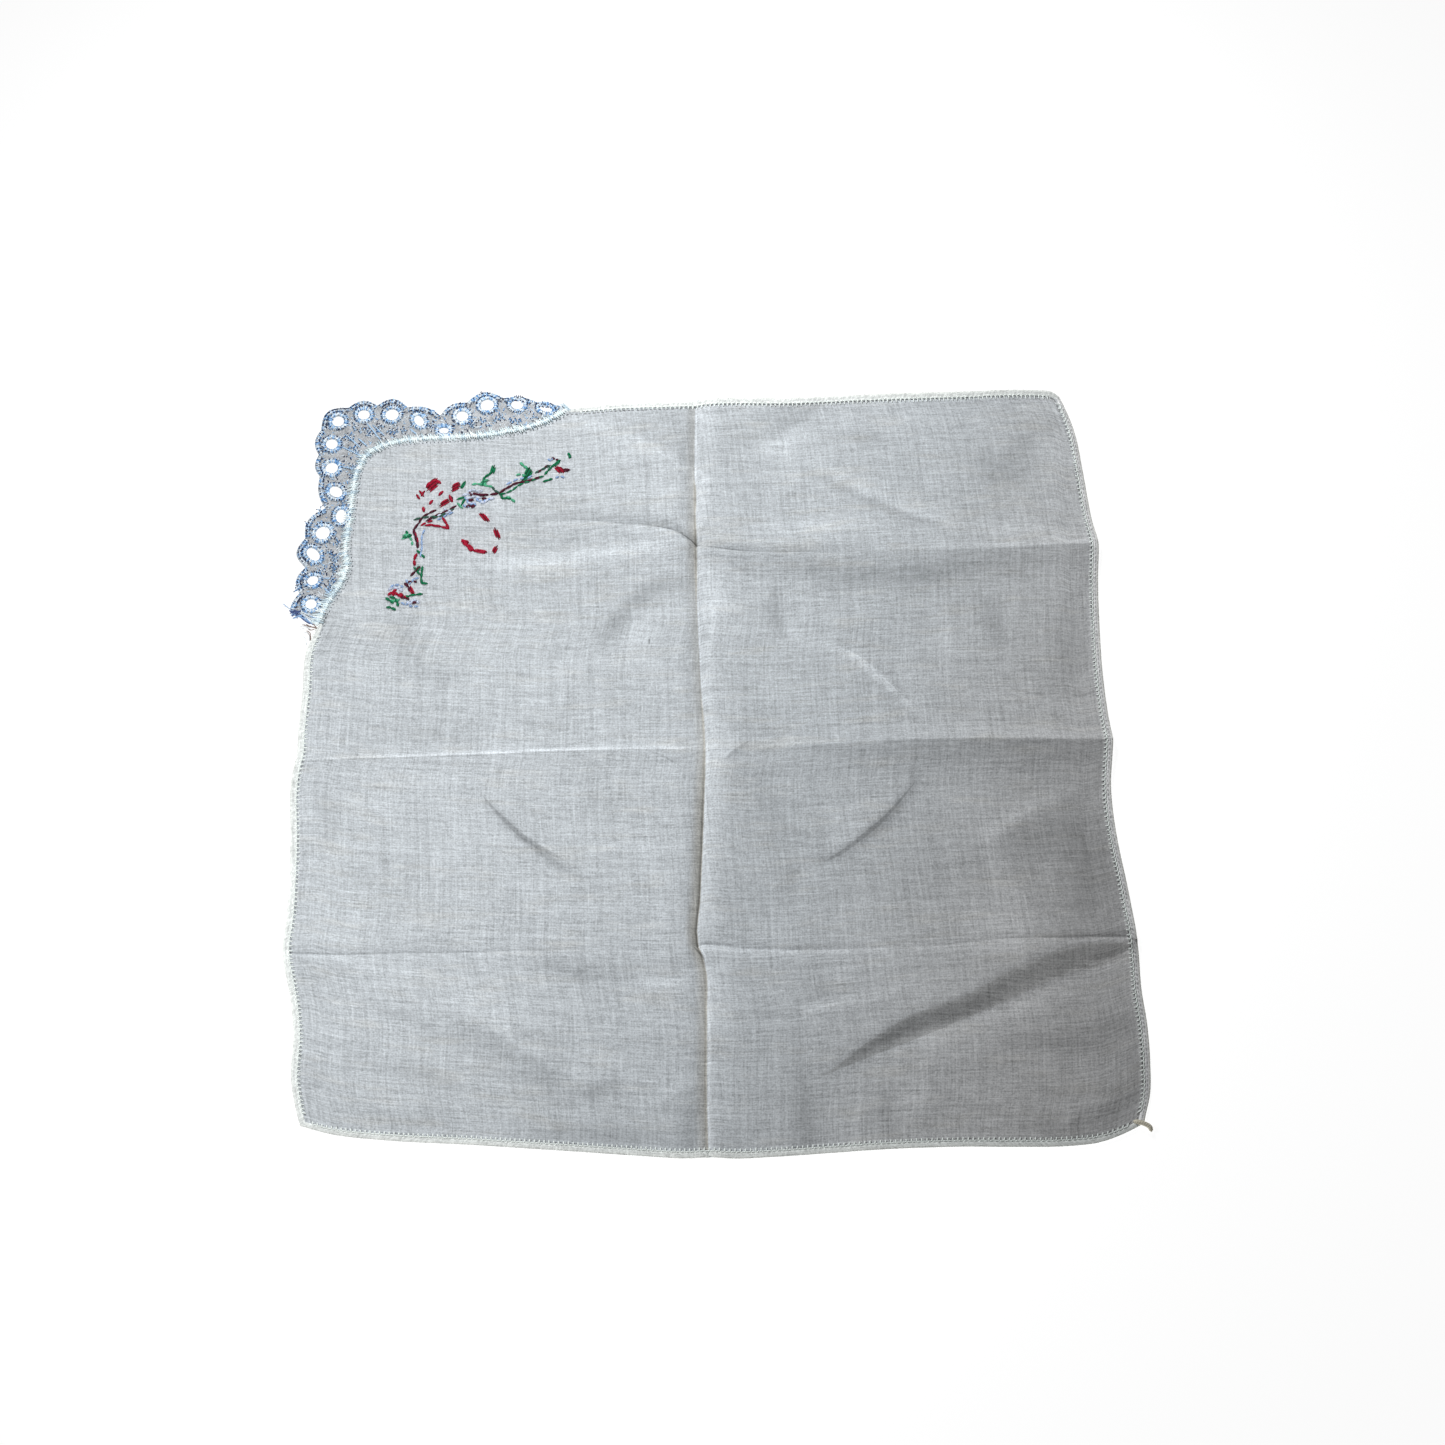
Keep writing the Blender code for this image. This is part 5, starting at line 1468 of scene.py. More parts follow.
edge, edge_out = scallop_edge(EDGE_SIDES)
edge_run = runs_along(edge)
stitch_runs = np.arange(0.4, edge_run[-1], EDGE_PITCH)
edge_count = len(stitch_runs)
edge_at, out_at = at_run(stitch_runs, edge_run, edge), at_run(stitch_runs, edge_run, edge_out)
out_at /= np.linalg.norm(out_at, axis=1)[:, None]
lean = np.stack([-out_at[:, 1], out_at[:, 0]], axis=1) * random.normal(0.1, 0.12, edge_count)[:, None]
depth = EDGE_WIDE + random.normal(0, 0.15, edge_count)
lay(on_lace(edge_at + out_at * 0.12, above=-0.05), on_lace(edge_at - out_at * depth[:, None] + lean),
    half_wide=LACE_THREAD * 1.2, arch=0.24,
    colours=picked([MIST, SKY, MILK, DENIM], [0.26, 0.26, 0.44, 0.04], edge_count))
# Painted shade: short dark threads where the edge's stitches go down into the net
for depth_in, chance in EDGE_SHADE_DOTS:
    shade_dotted = np.flatnonzero(random.random(edge_count) < chance)
    shade_dot_depth = depth_in + random.uniform(-0.15, 0.25, len(shade_dotted))
    shade_dot_out = out_at[shade_dotted]
    shade_dot_at = edge_at[shade_dotted] - shade_dot_out * shade_dot_depth[:, None]
    lay(on_lace(shade_dot_at + shade_dot_out * 0.36, above=0.46), on_lace(shade_dot_at - shade_dot_out * 0.26, above=0.38),
        half_wide=0.21, arch=0.08, colours=picked([NAVY, DENIM], [0.72, 0.28], len(shade_dotted)))

# Sprigs: small twigs of three to six stitches between the eyelets and the seam, and single bars
Sprig = namedtuple("Sprig", "x y turn_deg long leaves")
SPRIGS = [
    Sprig(-135.5, 129.5, 150, 4.0, 6), Sprig(-134, 134, 80, 3.0, 4), Sprig(-133.2, 124, 130, 4.0, 6),
    Sprig(-133.2, 117, 175, 3.0, 5), Sprig(-133.5, 112.5, 120, 2.6, 4), Sprig(-125, 133.5, 60, 3.2, 5),
    Sprig(-128.5, 131.5, 120, 4.0, 6), Sprig(-119, 132.5, 170, 4.0, 6), Sprig(-115.5, 132.5, 60, 2.4, 4),
    Sprig(-105, 134.5, 140, 2.6, 4), Sprig(-89, 135.0, 110, 3.0, 5), Sprig(-85, 137.2, 170, 3.2, 4),
    Sprig(-79.5, 138, 20, 4.0, 5), Sprig(-72, 137, 175, 4.5, 5), Sprig(-66, 138.6, 20, 2.6, 3),
    Sprig(-137.5, 84, 70, 3.0, 5), Sprig(-138.5, 77.5, 100, 4.0, 6), Sprig(-138.4, 73, 75, 3.4, 6),
    Sprig(-138.6, 68.5, 110, 3.0, 5), Sprig(-139.5, 65, 60, 2.0, 4), Sprig(-140.5, 80.5, 150, 2.2, 3),
    Sprig(-143, 72.5, 30, 3.0, 4), Sprig(-136.4, 101, 80, 2.2, 3), Sprig(-144.8, 98, 100, 3.0, 3),
    Sprig(-149.6, 92, 60, 2.0, 3), Sprig(-151.2, 64.5, 150, 2.0, 3),
]
BARS = [
    ((-132.5, 129.5), (-128.6, 125.8)), ((-130, 136.8), (-123.4, 128.2)),
    ((-139.4, 126.4), (-129.8, 121.2)), ((-138, 117), (-133.4, 116)), ((-142, 69.3), (-138.8, 69.3)),
    ((-127.4, 135.6), (-122.4, 130.6)), ((-137.8, 131.6), (-131.2, 125.4)),
    ((-141.2, 64.8), (-138.6, 62.8)), ((-113, 133.8), (-110, 131)),
]
for sprig in SPRIGS:
    turn = math.radians(sprig.turn_deg)
    stem_way = np.array([math.cos(turn), math.sin(turn)])
    side_way = np.array([-stem_way[1], stem_way[0]])
    root = np.array([sprig.x, sprig.y]) - stem_way * sprig.long / 2
    spots = np.linspace(0.1, 0.95, sprig.leaves)
    hand = np.where(np.arange(sprig.leaves) % 2, 1.0, -1.0)
    leaf_from = root + stem_way * (spots * sprig.long)[:, None]
    aside = hand * random.uniform(0.8, 1.3, sprig.leaves)
    leaf_to = leaf_from + stem_way * 0.75 + side_way * aside[:, None]
    lay(on_lace(leaf_from, above=0.08), on_lace(leaf_to, above=0.05), half_wide=LACE_THREAD * 1.4,
        arch=0.25, colours=picked([SKY, MILK, DENIM], [0.42, 0.36, 0.22], sprig.leaves))
    tips = leaf_to + side_way * (hand * 0.45)[:, None]
    lay(on_lace(leaf_to, above=0.30), on_lace(tips, above=0.20), half_wide=0.24, arch=0.05, colours=NAVY)
    half_way = (leaf_from + leaf_to) / 2
    lay(on_lace(leaf_from, above=0.42), on_lace(half_way, above=0.42), half_wide=0.20, arch=0.05,
        colours=NAVY)
    stem_end = root + stem_way * sprig.long
    lay(on_lace(root[None], above=0.05), on_lace(stem_end[None], above=0.05), half_wide=0.2, arch=0.1,
        colours=SKY)
bars = np.array(BARS)
lay(on_lace(bars[:, 0]), on_lace(bars[:, 1]), half_wide=0.32, arch=0.3, colours=SKY)

# Between them the net is full of the fine ends of the machine's threads
STRAY_COUNT = 900
stray = net[random.choice(len(net), STRAY_COUNT)] + random.uniform(-0.8, 0.8, (STRAY_COUNT, 2))
heading = random.uniform(0, math.pi, STRAY_COUNT)
stray_long = random.uniform(0.3, 0.8, STRAY_COUNT)
stray_way = np.stack([np.cos(heading), np.sin(heading)], axis=1) * stray_long[:, None]
stray_wide = random.uniform(0.12, 0.24, STRAY_COUNT)
lay(on_lace(stray - stray_way, above=0.1), on_lace(stray + stray_way, above=0.1), stray_wide, arch=0.06,
    colours=picked([MIST, MILK, SKY, DENIM, NAVY], [0.10, 0.30, 0.30, 0.12, 0.18], STRAY_COUNT))

lace_starts, lace_ends = np.concatenate(lace_starts), np.concatenate(lace_ends)
cut_outline = np.concatenate([along(SEAM, 0.4), [tuple(p) for p in CORNER_CUT]])
shown = inside(lace_ends[:, :2], cut_outline) | inside(lace_starts[:, :2], cut_outline)
laid = stitches(
    lace_starts[shown],
    lace_ends[shown],
    np.concatenate(lace_wide)[shown],
    np.concatenate(lace_arch)[shown],
)
lace_threads = thread_piece("lace_threads", laid, lace_floss, np.concatenate(lace_tint)[shown])

# The seam: the lace is joined to the cut edge by close slanting stitches of white thread over a cord,
# each of which goes down through a small hole in the cloth.
SEAM_LACE_SIDE, SEAM_CLOTH_SIDE = 2.05, 1.40
SEAM_PITCH = 0.84
SEAM_END_LONG, SEAM_END_BROADER = 34.0, 0.7
SEAM_THREAD, SEAM_CORD = 0.35, 0.44
SEAM_ARCHES = (0.42, 0.25, 0.03)
SEAM_REST, LACE_SIDE_REST, NEEDLE_REST = 0.02, 0.04, 0.05
SEAM_SLANT = 1.0
SEAM_WHITE = [seen(228, 241, 243), seen(196, 214, 224), seen(241, 249, 250)]
NEEDLE_HOLE_SHADE = seen(84, 90, 98)
NEEDLE_EVERY, NEEDLE_BEYOND = 1.8, 0.42

fine_seam = along(SEAM, 0.25)
seam_run = runs_along(fine_seam)
fine_way = np.gradient(fine_seam, axis=0)
fine_way /= np.hypot(*fine_way.T)[:, None]


def on_seam(run_at, sideways):
    """Places along the seam, moved sideways from it towards the lace."""
    way = at_run(run_at, seam_run, fine_way)
    out = np.stack([way[:, 1], -way[:, 0]], axis=1)
    return at_run(run_at, seam_run, fine_seam) + out * np.asarray(sideways)[..., None]


def above_both(points, above):
    """Places of the table raised over the cloth or the lace, whichever is higher there."""
    return np.column_stack([points, np.maximum(cloth_top(points), lace_height(points)) + above])


oversewn = np.arange(0.2, seam_run[-1] - 0.2, SEAM_PITCH)
count = len(oversewn)
broad = 1 + SEAM_END_BROADER * np.clip((oversewn - seam_run[-1]) / SEAM_END_LONG + 1, 0, 1)
to_lace = on_seam(oversewn + SEAM_SLANT * 0.5, SEAM_LACE_SIDE * broad + random.normal(0, 0.62, count))
to_cloth = on_seam(oversewn - SEAM_SLANT * 0.5, -SEAM_CLOTH_SIDE + random.normal(0, 0.36, count))
under_from = on_seam(oversewn, 0.75 * broad + random.normal(0, 0.2, count))
under_to = on_seam(oversewn + 1.6, -0.45 + random.normal(0, 0.15, count))
# Painted shade: short dark threads just off the cloth side of the seam stand for the shade in its needle
# holes
needle = np.arange(0.6, seam_run[-1] - 0.4, SEAM_PITCH * NEEDLE_EVERY)
needle_side = -SEAM_CLOTH_SIDE - NEEDLE_BEYOND + random.normal(0, 0.10, len(needle))
needle_from, needle_to = on_seam(needle, needle_side), on_seam(needle + 0.32, needle_side - 0.2)
seam_from = [
    above_both(to_lace, LACE_SIDE_REST), above_both(under_from, SEAM_REST),
    above_both(needle_from, NEEDLE_REST),
]
seam_to = [
    above_both(to_cloth, SEAM_REST), above_both(under_to, SEAM_REST), above_both(needle_to, NEEDLE_REST),
]
needle_wide = random.uniform(0.16, 0.24, len(needle))
seam_wide = [np.full(count, SEAM_THREAD), np.full(count, SEAM_CORD), needle_wide]
seam_arch = np.repeat(SEAM_ARCHES, [count, count, len(needle)])
seam_tint = [picked(SEAM_WHITE, [0.4, 0.3, 0.3], 2 * count), np.tile(NEEDLE_HOLE_SHADE, (len(needle), 1))]
joined = stitches(
    np.concatenate(seam_from), np.concatenate(seam_to), np.concatenate(seam_wide), seam_arch
)
seam_sewing = thread_piece("seam_stitches", joined, white_cotton, np.concatenate(seam_tint))

# The embroidery: a bow of running stitches on a spray of leaves and small flowers, worked freely by
# hand in two strands of cotton floss. Blocks are filled with stitches side by side, and the stitches of
# a line follow its stops, given as places (x, y).
CRIMSON, MAROON, GREEN = seen(168, 8, 48), seen(84, 18, 42), seen(8, 120, 78)
MINT, MOSS, PALE, CREAM = seen(92, 190, 146), seen(56, 96, 82), seen(164, 194, 236), seen(214, 224, 244)
FLOSS_REST = 0.05
FLOSS_ARCH = 0.28
FLOSS_PITCH = 0.60
FLOSS_FULL = 1.6
Line = namedtuple("Line", "colour half_wide long gap stops")
LINES = [
    # the spray's stem to the right, then down to the left and to its lower end
    Line(MAROON, 0.32, 3.4, -0.5, [
        (-77.7, 105.5), (-74.6, 108.4), (-70.8, 110.2), (-66, 111.4), (-61, 113.1),
    ]),
    Line(GREEN, 0.26, 2.6, 0.1, [
        (-77.7, 105), (-73.4, 106.4), (-70.6, 109.2), (-66, 110.9), (-60.6, 113.5),
    ]),
    Line(GREEN, 0.32, 2.4, -0.3, [(-60.6, 113.5), (-58.8, 116.6), (-57, 118.2), (-54.8, 120.4)]),
    Line(MAROON, 0.26, 2.4, 0.4, [(-63.4, 114.6), (-60.2, 117.4), (-58, 119)]),
    Line(MOSS, 0.26, 2.2, 0.3, [(-64.4, 114.4), (-61, 116.4), (-58.6, 117.6)]),
    Line(PALE, 0.24, 2.0, 0.8, [(-75, 109.4), (-70.9, 111.7), (-67, 112.4), (-64, 113.8)]),
    Line(MAROON, 0.34, 2.8, 0.9, [(-78, 105.4), (-81.5, 105), (-85, 105.1), (-88.4, 105.8)]),
    Line(MOSS, 0.28, 2.4, 0.2, [(-77.6, 105.6), (-79, 106.6), (-80.6, 108.5)]),
    Line(MAROON, 0.28, 3.2, 0.2, [(-93.6, 100.4), (-97, 98.2), (-101, 96), (-106.3, 92.3)]),
    Line(MOSS, 0.28, 3.0, 0.1, [(-109.4, 94), (-105.6, 95.2), (-101, 95.6), (-96.2, 96.4)]),
    Line(MOSS, 0.26, 2.6, 0.6, [(-94.4, 98.8), (-98, 97), (-102.6, 94.6)]),
    Line(PALE, 0.24, 2.0, 0.5, [(-94.6, 97.6), (-98, 95.6), (-101, 94)]),
    Line(CREAM, 0.28, 2.0, 1.2, [(-96, 97.6), (-99, 96.6), (-102, 95.2)]),
    Line(MAROON, 0.30, 3.2, -0.2, [
        (-101.2, 98.5), (-104.3, 96.8), (-106.5, 95), (-107.6, 92.6), (-109.4, 89.9),
    ]),
    Line(MAROON, 0.36, 3.2, -0.6, [(-109.5, 90), (-108.4, 87), (-107.6, 84), (-107.2, 81)]),
    Line(CRIMSON, 0.24, 3.0, -0.4, [(-109.1, 89.4), (-107.9, 86.4), (-107.1, 83)]),
    Line(CRIMSON, 0.38, 2.6, 0.2, [(-107.7, 79.8), (-108.5, 77.6), (-108, 74.6)]),
    Line(GREEN, 0.30, 2.3, 0.2, [(-107.6, 81.2), (-106.2, 79.6), (-104.6, 77.9)]),
    Line(PALE, 0.24, 2.2, 0.2, [(-105.1, 89.9), (-106.2, 87), (-105.9, 83), (-106.4, 77)]),
    Line(MAROON, 0.34, 2.6, -0.2, [(-106.2, 74.4), (-107.6, 72.8), (-109.4, 70.4)]),
    Line(GREEN, 0.32, 2.6, -0.2, [
        (-105.3, 74.6), (-105.5, 71.4), (-105.4, 67.6), (-105, 66.9), (-103, 67.3),
    ]),
    Line(GREEN, 0.28, 2.0, 0.1, [(-108.6, 74.2), (-107, 72.4), (-105.8, 70.2)]),
    # the bow: its left loop, the knot's end and its right loop
    Line(CRIMSON, 0.28, 2.8, 0.5, [(-109.1, 105.4), (-107.8, 103.0)]),
    Line(CRIMSON, 0.28, 3.4, 0.5, [(-108.2, 106.9), (-106.0, 104.3)]),
    Line(CRIMSON, 0.26, 2.9, 0.5, [(-106.1, 106.9), (-107.3, 104.3)]),
    Line(CRIMSON, 0.40, 3.0, -0.6, [(-105.4, 108.2), (-103.6, 110.8), (-101.8, 111.5), (-99.4, 109.4)]),
    Line(CRIMSON, 0.38, 2.4, 0.5, [(-100.6, 104.7), (-98.8, 106.8)]),
    Line(CRIMSON, 0.38, 2.2, 0.5, [(-104, 100.9), (-102.6, 102.8)]),
    Line(MAROON, 0.36, 2.2, 0.4, [(-95.9, 104.4), (-95.4, 102.6), (-95, 101)]),
    Line(CRIMSON, 0.34, 3.6, -0.5, [
        (-98.9, 95.3), (-97.2, 92.8), (-95.7, 90.3), (-98, 90.9), (-101, 91.9),
        (-105.2, 91.8),
    ]),
    Line(CRIMSON, 0.28, 2.2, 0.6, [(-106.6, 91.6), (-104, 93.2), (-102, 94)]),
    Line(CRIMSON, 0.34, 2.6, 0.2, [(-90.6, 84.4), (-89.2, 83.6), (-87.9, 81.4), (-86, 80.2)]),
    Line(CRIMSON, 0.40, 2.4, 0.3, [(-106.1, 99.9), (-105.7, 97.6)]),
    Line(CRIMSON, 0.38, 3.5, 0.3, [(-96.3, 105.0), (-95.3, 101.6)]),
    Line(CRIMSON, 0.40, 2.6, -0.4, [
        (-91.1, 85.6), (-88.8, 83.2), (-86.9, 80.9), (-84.6, 81.2), (-82, 80.2),
    ]),
    # sprigs of leaves
    Line(GREEN, 0.34, 2.4, -0.4, [
        (-80.8, 117.2), (-80.2, 115), (-82.3, 113.5), (-84.2, 112.1), (-83.6, 110.1),
    ]),
    Line(MINT, 0.30, 2.2, -0.1, [(-88.2, 109.6), (-85.8, 109.8), (-83.4, 109.3), (-80.4, 108.4)]),
    Line(GREEN, 0.30, 2.2, 0.1, [(-83.4, 110.6), (-84.4, 108.8), (-85.3, 107.6)]),
    Line(GREEN, 0.32, 2.2, -0.2, [(-77.4, 105), (-76, 103), (-74.4, 103.6), (-73, 103.2)]),
    Line(MINT, 0.34, 2.2, 0.0, [(-75, 104.2), (-73.2, 103.2), (-71.6, 101.8)]),
    Line(MINT, 0.36, 2.0, 0.1, [(-70.2, 119), (-68.8, 117.6), (-67.4, 116.6)]),
    Line(MINT, 0.30, 1.8, 0.3, [(-71.4, 113.6), (-69, 113.8), (-67.4, 112.6)]),
    Line(GREEN, 0.30, 2.2, 0.0, [(-61.2, 110.5), (-59.4, 111.2), (-57.8, 112.1)]),
    Line(GREEN, 0.36, 1.2, 0.1, [(-52.2, 123), (-51.3, 122.4), (-51.5, 121)]),
    Line(GREEN, 0.30, 3.6, 0.2, [(-93.7, 102.9), (-90.2, 103.9)]),
    Line(GREEN, 0.30, 4.2, 0.2, [(-90.2, 103.9), (-92.3, 99.9)]),
    Line(MINT, 0.28, 3.4, 0.4, [(-93.4, 101.6), (-91.2, 98.9)]),
    Line(GREEN, 0.30, 1.8, 0.2, [(-112.3, 89.3), (-111.2, 87.9), (-109.8, 87.2)]),
    Line(GREEN, 0.32, 1.8, 0.2, [(-113.3, 86.4), (-111.6, 86.4), (-110, 87.4)]),
    Line(MINT, 0.30, 1.8, 0.2, [(-112.6, 88), (-111.6, 86.8), (-110.6, 85.9)]),
    Line(MINT, 0.28, 1.8, 0.3, [(-110.6, 86.6), (-109.6, 85), (-109.4, 83.2)]),
    # the lower end: flowers over a cross of green
    Line(GREEN, 0.30, 2.6, -0.2, [(-112, 61.8), (-108.6, 62.5), (-104.8, 62.9)]),
    Line(GREEN, 0.34, 2.2, 0.0, [(-117, 61.7), (-115, 61.3), (-113.8, 59), (-113.6, 58)]),
    Line(GREEN, 0.34, 2.0, 0.0, [(-117.9, 57.6), (-116, 57.2), (-114.2, 56.4)]),
    Line(MINT, 0.30, 1.8, 0.2, [(-116.6, 60.4), (-115, 59.8), (-113, 60.8)]),
    Line(CRIMSON, 0.36, 1.9, 0.0, [(-114.4, 64.7), (-116, 63.6), (-115.4, 62.2)]),
    Line(CRIMSON, 0.34, 1.8, 0.3, [(-113.4, 63.2), (-112.2, 62.6), (-110.6, 61.4)]),
    Line(MAROON, 0.34, 1.8, 0.1, [(-113, 61.6), (-111, 61.4), (-109.4, 60.6)]),
    Line(MAROON, 0.32, 1.8, 0.5, [(-110.7, 67.8), (-109, 68), (-107, 68.1)]),
    Line(MAROON, 0.36, 1.7, 0.2, [(-108.4, 59.1), (-107.2, 59.5), (-106.6, 59.6)]),
    Line(PALE, 0.26, 1.7, 0.5, [(-117, 65.6), (-115.4, 66.8), (-113, 66.6), (-110.6, 65)]),
    Line(PALE, 0.26, 1.7, 0.4, [(-112.6, 59.4), (-111, 58.4), (-109, 60), (-106.6, 60.6)]),
    Line(PALE, 0.26, 1.6, 0.4, [(-109.6, 58.2), (-107.8, 57.7), (-106.2, 57.8)]),
    Line(PALE, 0.26, 1.6, 0.4, [(-111, 69), (-109.4, 66.8), (-108.4, 69.4), (-106.6, 69.6)]),
    Line(CRIMSON, 0.40, 2.2, 0.0, [(-117.6, 62.4), (-115.4, 63.8), (-113.4, 62.2), (-111.2, 61.6)]),
    Line(MAROON, 0.36, 2.0, 0.2, [(-111.6, 67.6), (-110, 65.8), (-109.4, 64)]),
    Line(GREEN, 0.34, 2.0, 0.0, [(-118.4, 61.4), (-116.6, 60.2), (-115, 58.6)]),
    # the flowers under the knot: pale petals tied down with dark dashes
    Line(CREAM, 0.36, 2.0, 0.1, [(-91.6, 104.8), (-89.8, 105.2), (-88.2, 105.6), (-86.4, 106.2)]),
    Line(CREAM, 0.36, 2.0, 0.1, [(-90.4, 103), (-88.6, 103.8), (-86.6, 104.2), (-84.6, 103.6)]),
    Line(CREAM, 0.36, 2.0, 0.1, [(-85, 101.6), (-83, 101.6), (-81.6, 103.2), (-79.4, 103.4)]),
    Line(CREAM, 0.36, 2.0, 0.1, [(-117.6, 64.6), (-115.6, 65.6), (-113, 65), (-111.6, 63.4)]),
    Line(CREAM, 0.36, 2.0, 0.1, [(-110.6, 59.8), (-109, 58.8), (-107.6, 61.2), (-106, 59)]),
    Line(PALE, 0.30, 1.5, 0.2, [(-91, 100.8), (-89.4, 99.6), (-87.6, 101.4), (-86, 100.2)]),
    Line(CREAM, 0.32, 1.5, 0.2, [(-89.6, 106.4), (-87.6, 107.2), (-86, 106.4), (-84, 106.8)]),
    Line(CREAM, 0.32, 1.4, 0.2, [(-89.4, 101.6), (-87.4, 101.3), (-85.6, 101.6)]),
    Line(PALE, 0.30, 1.5, 0.2, [(-90.8, 103.8), (-89.2, 102.4), (-90, 100.6)]),
    Line(PALE, 0.30, 1.5, 0.2, [(-86.4, 103.4), (-84.4, 102), (-82.8, 102.4), (-80, 104)]),
    Line(MAROON, 0.40, 2.0, 0.3, [(-89.2, 105.9), (-87.6, 104.4)]),
    Line(MAROON, 0.40, 3.0, 0.3, [(-86.0, 105.3), (-83.0, 104.6)]),
    Line(MAROON, 0.40, 2.4, 0.3, [(-89.6, 102.2), (-87.2, 103.0)]),
    Line(MAROON, 0.36, 2.2, 0.3, [(-90.2, 99.9), (-88.0, 100.3)]),
    Line(MAROON, 0.40, 1.8, 0.3, [(-88.2, 99.5), (-86.6, 100.6)]),
    Line(MAROON, 0.40, 2.2, 0.3, [(-84.2, 103.6), (-82.0, 102.9)]),
    Line(CREAM, 0.30, 1.6, 0.4, [(-98.6, 99.2), (-97, 98.4), (-95.4, 97.8)]),
    Line(PALE, 0.26, 1.5, 0.5, [(-59.8, 120.6), (-58.6, 119.8), (-57.8, 121)]),
    Line(MAROON, 0.30, 1.6, 0.2, [(-58.4, 121), (-57, 120.6), (-55.8, 119.8)]),
    Line(PALE, 0.26, 1.6, 0.5, [(-56.6, 112.2), (-54.4, 113), (-52.6, 112.4)]),
]
Block = namedtuple("Block", "colour x y turn_deg long wide")
BLOCKS = [
    Block(CRIMSON, -103, 109.3, 44, 6.0, 3.6), Block(CRIMSON, -94.2, 108.4, 30, 4.2, 2.8),
    Block(CRIMSON, -98.2, 101.6, 34, 5.0, 2.0), Block(CRIMSON, -83.0, 95.3, -52, 5.6, 1.8),
    Block(CRIMSON, -78.0, 88.3, -70, 5.4, 1.8), Block(CRIMSON, -78.4, 81.5, 66, 3.4, 1.7),
    Block(CRIMSON, -83.6, 80.6, -12, 4.6, 1.5), Block(CRIMSON, -87.8, 82.4, -50, 3.8, 1.5),
    Block(CRIMSON, -89.6, 84.7, -20, 3.0, 1.2), Block(CRIMSON, -109.0, 64.6, -62, 4.0, 1.2),
    Block(CRIMSON, -55.0, 115.8, -50, 4.2, 2.4), Block(MAROON, -52.6, 115.7, -14, 2.8, 1.2),
    Block(GREEN, -91.4, 109.3, 64, 4.2, 0.9), Block(GREEN, -80.4, 116.0, 76, 3.6, 1.9),
    Block(GREEN, -66.9, 114.6, 66, 4.4, 2.8), Block(GREEN, -68.2, 112.2, 40, 3.2, 2.0),
    Block(GREEN, -56.2, 118.7, 44, 3.6, 1.0), Block(MINT, -83.6, 110.4, 25, 4.0, 1.8),
    Block(MINT, -112.2, 86.9, 12, 3.0, 1.9), Block(GREEN, -107.0, 73.2, 60, 2.6, 1.2),
]


def on_surface(points, above):
    """Places of the table as places just above the cloth."""
    return np.column_stack([points, cloth_top(points) + above])


floss_from, floss_to, floss_wide, floss_tint = [], [], [], []
for line in LINES:
    route = along(line.stops, 0.15)
    run_on = runs_along(route)
    starts = np.arange(0, max(run_on[-1] - line.long * 0.6, 0.1), line.long + line.gap)
    ends = starts + line.long * random.uniform(0.92, 1.08, len(starts))
    swerve = random.normal(0, 0.09, (2, len(starts), 2))
    floss_from.append(at_run(starts, run_on, route) + swerve[0])
    floss_to.append(at_run(ends, run_on, route) + swerve[1])
    floss_wide.append(np.full(len(starts), line.half_wide * FLOSS_FULL))
    floss_tint.append(np.array(line.colour) * random.uniform(0.86, 1.12, len(starts))[:, None])
for block in BLOCKS:
    turn = math.radians(block.turn_deg)
    way = np.array([math.cos(turn), math.sin(turn)])
    aside = np.array([-way[1], way[0]])
    count = max(3, round(block.wide / FLOSS_PITCH))
    rows = (np.arange(count) + 0.5) / count * 2 - 1
    half_long = block.long / 2 * (1 - 0.35 * rows**2) * random.uniform(0.82, 1.12, count)
    middle = np.array([block.x, block.y]) + aside * (rows * block.wide / 2)[:, None]
    slip = way * (rows * block.wide * 0.25 + random.normal(0, 0.15, count))[:, None]
    floss_from.append(middle + slip - way * half_long[:, None])
    floss_to.append(middle + slip + way * half_long[:, None])
    floss_wide.append(np.full(count, FLOSS_PITCH * 0.56))
    # Every other stitch of a block is painted darker, as painted shade between the stitches
    shade = np.where(np.arange(count) % 2, 0.42, 1.12) * random.uniform(0.9, 1.1, count)
    floss_tint.append(np.array(block.colour) * shade[:, None])
worked = stitches(
    on_surface(np.concatenate(floss_from), FLOSS_REST),
    on_surface(np.concatenate(floss_to), FLOSS_REST),
    np.concatenate(floss_wide),
    FLOSS_ARCH,
)
floss_finish = thread_finish("embroidery_floss", 0.6, 0.9)
embroidery = thread_piece("embroidery", worked, floss_finish, np.concatenate(floss_tint))

